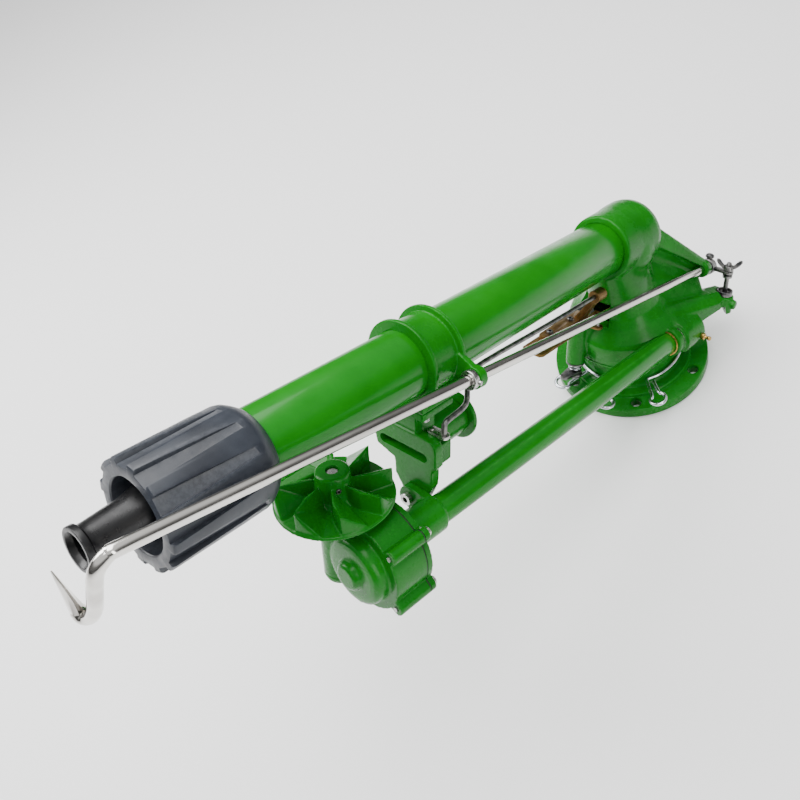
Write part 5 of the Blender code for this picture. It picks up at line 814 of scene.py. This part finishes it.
grubScrew = machined(turn([(0, grub["top"]), (0.0019, grub["top"]), (grub["radius"], 0.0157),
                           (grub["radius"], grub["foot"]), (0, grub["foot"])], hubSide, 24),
                     [bar(grub["socket"], grub["socketFloor"], 0.02, hubSide, 6)])
fitted(grubScrew, "hubScrew", "darkSteel", "turbine", ["hub_screw"])
print("turbine and gear case done")

# drive tube, its end ring and the grease nipples
drive = {"inner": 0.0105, "outer": 0.0135, "rear": 0.0042, "front": 0.4442, "ringInner": 0.0138,
         "ringOuter": 0.0151, "ringRear": 0.0138, "ringFront": 0.0163}
greaser = {"top": 0.0125, "hexagon": 0.0042, "hexagonTop": 0.0046, "frontAlong": -0.006, "frontOut": 0.0155,
           "rearAlong": -0.028}
fitted(rounded(tube(drive["inner"], drive["outer"], drive["rear"], drive["front"], driveLine, 96), 0.0004),
       "driveTube", "tubePaint", "gun", ["drive_tube"])
fitted(rounded(tube(drive["ringInner"], drive["ringOuter"], drive["ringRear"], drive["ringFront"], driveLine, 72),
               0.0003), "tunnelRing", "turnedBrass", "gun", ["tunnel_ring"])
for name, node, place in (
        ("frontNipple", "front_grease_nipple",
         moved(turnedBy(moved(turbineLine, z=greaser["frontAlong"]), -90, "Y"), z=greaser["frontOut"])),
        ("rearNipple", "rear_grease_nipple",
         moved(turnedBy(moved(driveLine, z=greaser["rearAlong"]), 90, "Y"), z=elbow["tunnel"]))):
    nipple = turn([(0, greaser["top"]), (0.0016, greaser["top"]), (0.0024, 0.0116), (0.0027, 0.0106),
                   (0.0026, 0.0092), (0.0018, 0.0078), (0.0020, 0.0050), (0.0030, greaser["hexagonTop"]),
                   (0, greaser["hexagonTop"])], place, 28)
    hexagon = bar(greaser["hexagon"], gap, greaser["hexagonTop"], place, 6)
    fitted(rounded(joined([nipple, hexagon]), 0.0002), name, "turnedBrass", "gun", [node])

# trip spindle with the finger that the stops strike, washer, spring and crank
trip = {"radius": 0.0040, "top": -0.083, "disc": 0.0095, "discTop": -0.1733, "foot": -0.1778, "fingerHub": 0.0085,
        "fingerEnd": (-0.0015, -0.020), "fingerTip": 0.0050, "fingerLow": -0.1738, "fingerHigh": -0.1693,
        "washer": 0.0110, "washerLow": -0.1603, "washerHigh": -0.1583, "crankHub": 0.0080, "crankReach": 0.026,
        "crankEnd": 0.0055, "crankLow": -0.1037, "crankHigh": -0.1005, "pin": 0.0025, "pinTop": -0.0845,
        "pinFoot": -0.1030}
finger = arc((0, 0), trip["fingerHub"], 0, 180, 16) + arc(trip["fingerEnd"], trip["fingerTip"], 180, 360, 12)
spindle = joined([
    turn([(0, trip["top"]), (0.0036, trip["top"]), (trip["radius"], -0.0835), (trip["radius"], trip["discTop"]),
          (trip["disc"], trip["discTop"]), (trip["disc"], -0.1770), (0.0088, trip["foot"]), (0, trip["foot"])],
         tripLine, 40),
    slab(finger, trip["fingerLow"], trip["fingerHigh"], tripLine)])
fitted(rounded(spindle, 0.0004), "tripSpindle", "darkSteel", "trip", ["trip_spindle"])
fitted(rounded(tube(elbow["spindleBore"], trip["washer"], trip["washerLow"], trip["washerHigh"], tripLine, 48),
               0.0003), "tripWasher", "darkSteel", "gun", ["trip_washer"])
coil = {"wire": 0.0007, "radius": 0.0070, "turns": 3.5, "low": -0.1683, "high": -0.1613}
route = []
for i in range(141):
    angle = i / 140 * coil["turns"] * 2 * math.pi
    route.append(tripLine @ Vector((coil["radius"] * math.cos(angle), coil["radius"] * math.sin(angle),
                                    coil["low"] + (coil["high"] - coil["low"]) * i / 140)))
fitted(bentBar(route, coil["wire"], 3), "tripSpring", "zincWire", "trip", ["trip_spring"])
crankPlace = turnedBy(tripLine, -90, "Z")
crankShape = arc((0, 0), trip["crankHub"], 180, 360, 16)
crankShape += arc((0, trip["crankReach"]), trip["crankEnd"], 0, 180, 12)
crank = machined(slab(crankShape, trip["crankLow"], trip["crankHigh"], crankPlace),
                 [bar(elbow["spindleBore"], -0.12, -0.09, tripLine, 32)])
fitted(rounded(crank, 0.0004), "crankPlate", "yellowZinc", "trip", ["crank_plate"])
fitted(turn([(0, trip["pinTop"]), (0.0021, trip["pinTop"]), (trip["pin"], -0.0850), (trip["pin"], trip["pinFoot"]),
             (0, trip["pinFoot"])], moved(crankPlace, y=trip["crankReach"]), 28), "crankPin", "brightSteel", "trip")

# link plates, their round block and the thin shift rod
link = {"plate": [(0.008, -0.0115), (0.008, -0.026), (0.004, -0.036), (0.004, -0.136), (0.001, -0.140),
                  (-0.019, -0.140), (-0.023, -0.136), (-0.023, -0.040), (-0.008, -0.026), (-0.008, -0.0115)],
        "bar": [(-0.005, -0.034), (-0.005, -0.108), (-0.008, -0.112), (-0.019, -0.112), (-0.021, -0.108),
                (-0.021, -0.034)],
        "low": -0.088, "high": -0.085, "barTop": -0.080, "pinSlot": (0.0050, 0.0029, -0.017),
        "screwBore": 0.0025, "screwAside": -0.013, "screws": (-0.060, -0.100), "block": 0.0072,
        "blockFront": 0.011, "blockRear": -0.006, "blockEdge": 0.0006, "blockSeat": 0.0075, "rodSeat": 0.0029}
linkScrew = {"seat": -0.080, "head": 0.0036, "height": 0.0030, "shank": 0.0022, "reach": 0.007}
shift = {"radius": 0.0026,
         "route": [(0.013, -0.045, 0.046), (0.013, -0.0415, 0.157), (0.013, -0.038, 0.268),
                   (0.024, -0.0425, 0.290), (0.0345, -0.0485, 0.306), (0.0365, -0.0500, 0.331),
                   (0.0365, -0.0515, 0.3358), (0.0365, -0.0545, 0.337), (0.0365, -0.0672, 0.337)]}


def linkDrills():
    return [bar(link["screwBore"], -0.095, -0.07, moved(upright, link["screwAside"], y), 24)
            for y in link["screws"]]


linkPlate = machined(slab(link["plate"], link["low"], link["high"], upright),
                     [slab(slotOutline(*link["pinSlot"]), -0.10, -0.08, upright)] + linkDrills())
fitted(rounded(linkPlate, 0.0004), "linkPlate", "yellowZinc", "link", ["link_plates"])
linkBar = machined(slab(link["bar"], -0.0849, link["barTop"], upright), linkDrills())
fitted(rounded(linkBar, 0.0006), "linkBar", "yellowZinc", "link")
blockRear, blockAhead = (barrelLine @ Vector(shift["route"][i]) for i in (0, 2))
blockLine = placeAt(blockRear, blockAhead - blockRear, (1, 0, 0))
strap = machined(
    skinOver([upright @ Vector((x, y, z)) for x in (-0.013, -0.006) for y in (-0.036, -0.052)
              for z in (-0.084, -0.080)]
             + [upright @ Vector((x, y, -0.048)) for x in (0.009, 0.015) for y in (-0.040, -0.052)]),
    [bar(link["blockSeat"], -0.02, 0.02, blockLine, 40)])
fitted(rounded(strap, 0.0005), "linkStrap", "yellowZinc", "link")
block = machined(turn([(0, link["blockFront"]), (link["block"] - link["blockEdge"], link["blockFront"]),
                       (link["block"], link["blockFront"] - link["blockEdge"]),
                       (link["block"], link["blockRear"] + link["blockEdge"]),
                       (link["block"] - link["blockEdge"], link["blockRear"]), (0, link["blockRear"])],
                      blockLine, 48), [bar(link["rodSeat"], -gap, 0.03, blockLine, 28)])
fitted(block, "linkBlock", "yellowZinc", "link", ["link_block"])
for label, y in zip(("Rear", "Front"), link["screws"]):
    capScrew(f"linkScrew{label}", f"link_screw_{label.lower()}", moved(upright, link["screwAside"], y), linkScrew,
             "darkSteel", "link")
fitted(bentBar(smoothRoute([barrelLine @ Vector(p) for p in shift["route"]], 5), shift["radius"], 4), "shiftRod",
       "darkSteel", "link", ["shift_rod"])
print("trip and link done")

# what stays as it is gets its real surface
keptFinish = {"green_paint": "castPaint", "grey_plastic": "greyNylon", "polished_steel": "brightSteel",
              "dark_steel": "darkSteel", "bronze": "bearingBronze", "rubber": "sealRubber",
              "brass": "turnedBrass", "zinc_wire": "zincWire", "yellow_zinc": "yellowZinc",
              "black_plastic": "blackNylon"}
slotOf = {row["node"]: row["material_slot"] for row in frame["record"]["subparts"]}
for node, item in frame["nodes"].items():
    for socket in item.material_slots:
        socket.material = materials[keptFinish[slotOf[node]]]
print("kept nodes", len(frame["nodes"]))

# pale floor, soft light and the photograph's camera
stage = {"reach": 8.0, "drop": -0.0005, "floor": (0.95, 0.95, 0.95), "rough": 0.9, "sky": 0.9,
         "walls": ((0.0, 0.10), (0.30, 0.22), (0.55, 1.0), (1.0, 1.0)), "aim": (0.02, -0.28, 0.25)}
lamps = {"topLight": {"spot": (-0.3, -0.1, 2.2), "size": (1.6, 2.4), "power": 75.0},
         "keyLight": {"spot": (-1.2, -0.9, 1.3), "size": (0.6, 1.4), "power": 26.0},
         "sideLight": {"spot": (1.7, -0.6, 0.9), "size": (0.5, 1.4), "power": 12.0}}
photo = {"side": 800, "focal": 861.806, "centre": (461.504, 303.749), "film": 36.0,  # pixels, film in mm
         "place": ((0.775203, -0.296249, 0.557939, 0.427417), (0.586968, 0.664275, -0.462826, -0.593775),
                   (-0.233513, 0.686276, 0.688837, 0.859241), (0, 0, 0, 1))}
bpy.ops.object.select_all(action="DESELECT")
bpy.ops.mesh.primitive_plane_add(size=stage["reach"], location=(0, 0, stage["drop"]))
floor = bpy.context.object
floor.name = "stageFloor"
paper = bpy.data.materials.new("palePaper")
paper.use_nodes = True
paperShader = paper.node_tree.nodes["Principled BSDF"]
paperShader.inputs["Base Color"].default_value = (*stage["floor"], 1.0)
paperShader.inputs["Roughness"].default_value = stage["rough"]
floor.data.materials.append(paper)
sky = bpy.data.worlds.new("studio")
bpy.context.scene.world = sky
sky.use_nodes = True
skyNodes, skyLinks = sky.node_tree.nodes, sky.node_tree.links
skyHeight = skyNodes.new("ShaderNodeSeparateXYZ")
skyLinks.new(skyNodes.new("ShaderNodeTexCoord").outputs["Generated"], skyHeight.inputs["Vector"])
skyShade = skyNodes.new("ShaderNodeValToRGB")  # dark walls, bright ceiling
for at, grey in stage["walls"]:
    stop = skyShade.color_ramp.elements[0] if at == 0.0 else skyShade.color_ramp.elements.new(at)
    stop.position = at
    stop.color = (grey, grey, grey, 1.0)
skyLinks.new(skyHeight.outputs["Z"], skyShade.inputs["Fac"])
skyLinks.new(skyShade.outputs["Color"], skyNodes["Background"].inputs["Color"])
skyNodes["Background"].inputs["Strength"].default_value = stage["sky"]
for name, settings in lamps.items():
    bpy.ops.object.light_add(type="AREA", location=settings["spot"])
    lamp = bpy.context.object
    lamp.name = name
    lamp.data.shape = "RECTANGLE"
    lamp.data.size, lamp.data.size_y = settings["size"]
    lamp.data.energy = settings["power"]
    toAim = Vector(stage["aim"]) - Vector(settings["spot"])
    lamp.rotation_euler = toAim.to_track_quat("-Z", "Y").to_euler()
camera = bpy.data.objects.new("photoCamera", bpy.data.cameras.new("photoCamera"))
bpy.context.scene.collection.objects.link(camera)
camera.matrix_world = Matrix(photo["place"])
camera.data.sensor_width = photo["film"]
camera.data.lens = photo["focal"] / photo["side"] * photo["film"]
camera.data.shift_x = (photo["side"] / 2 - photo["centre"][0]) / photo["side"]
camera.data.shift_y = (photo["centre"][1] - photo["side"] / 2) / photo["side"]
camera.data.clip_start = 0.01
bpy.context.scene.camera = camera
print("stage done")
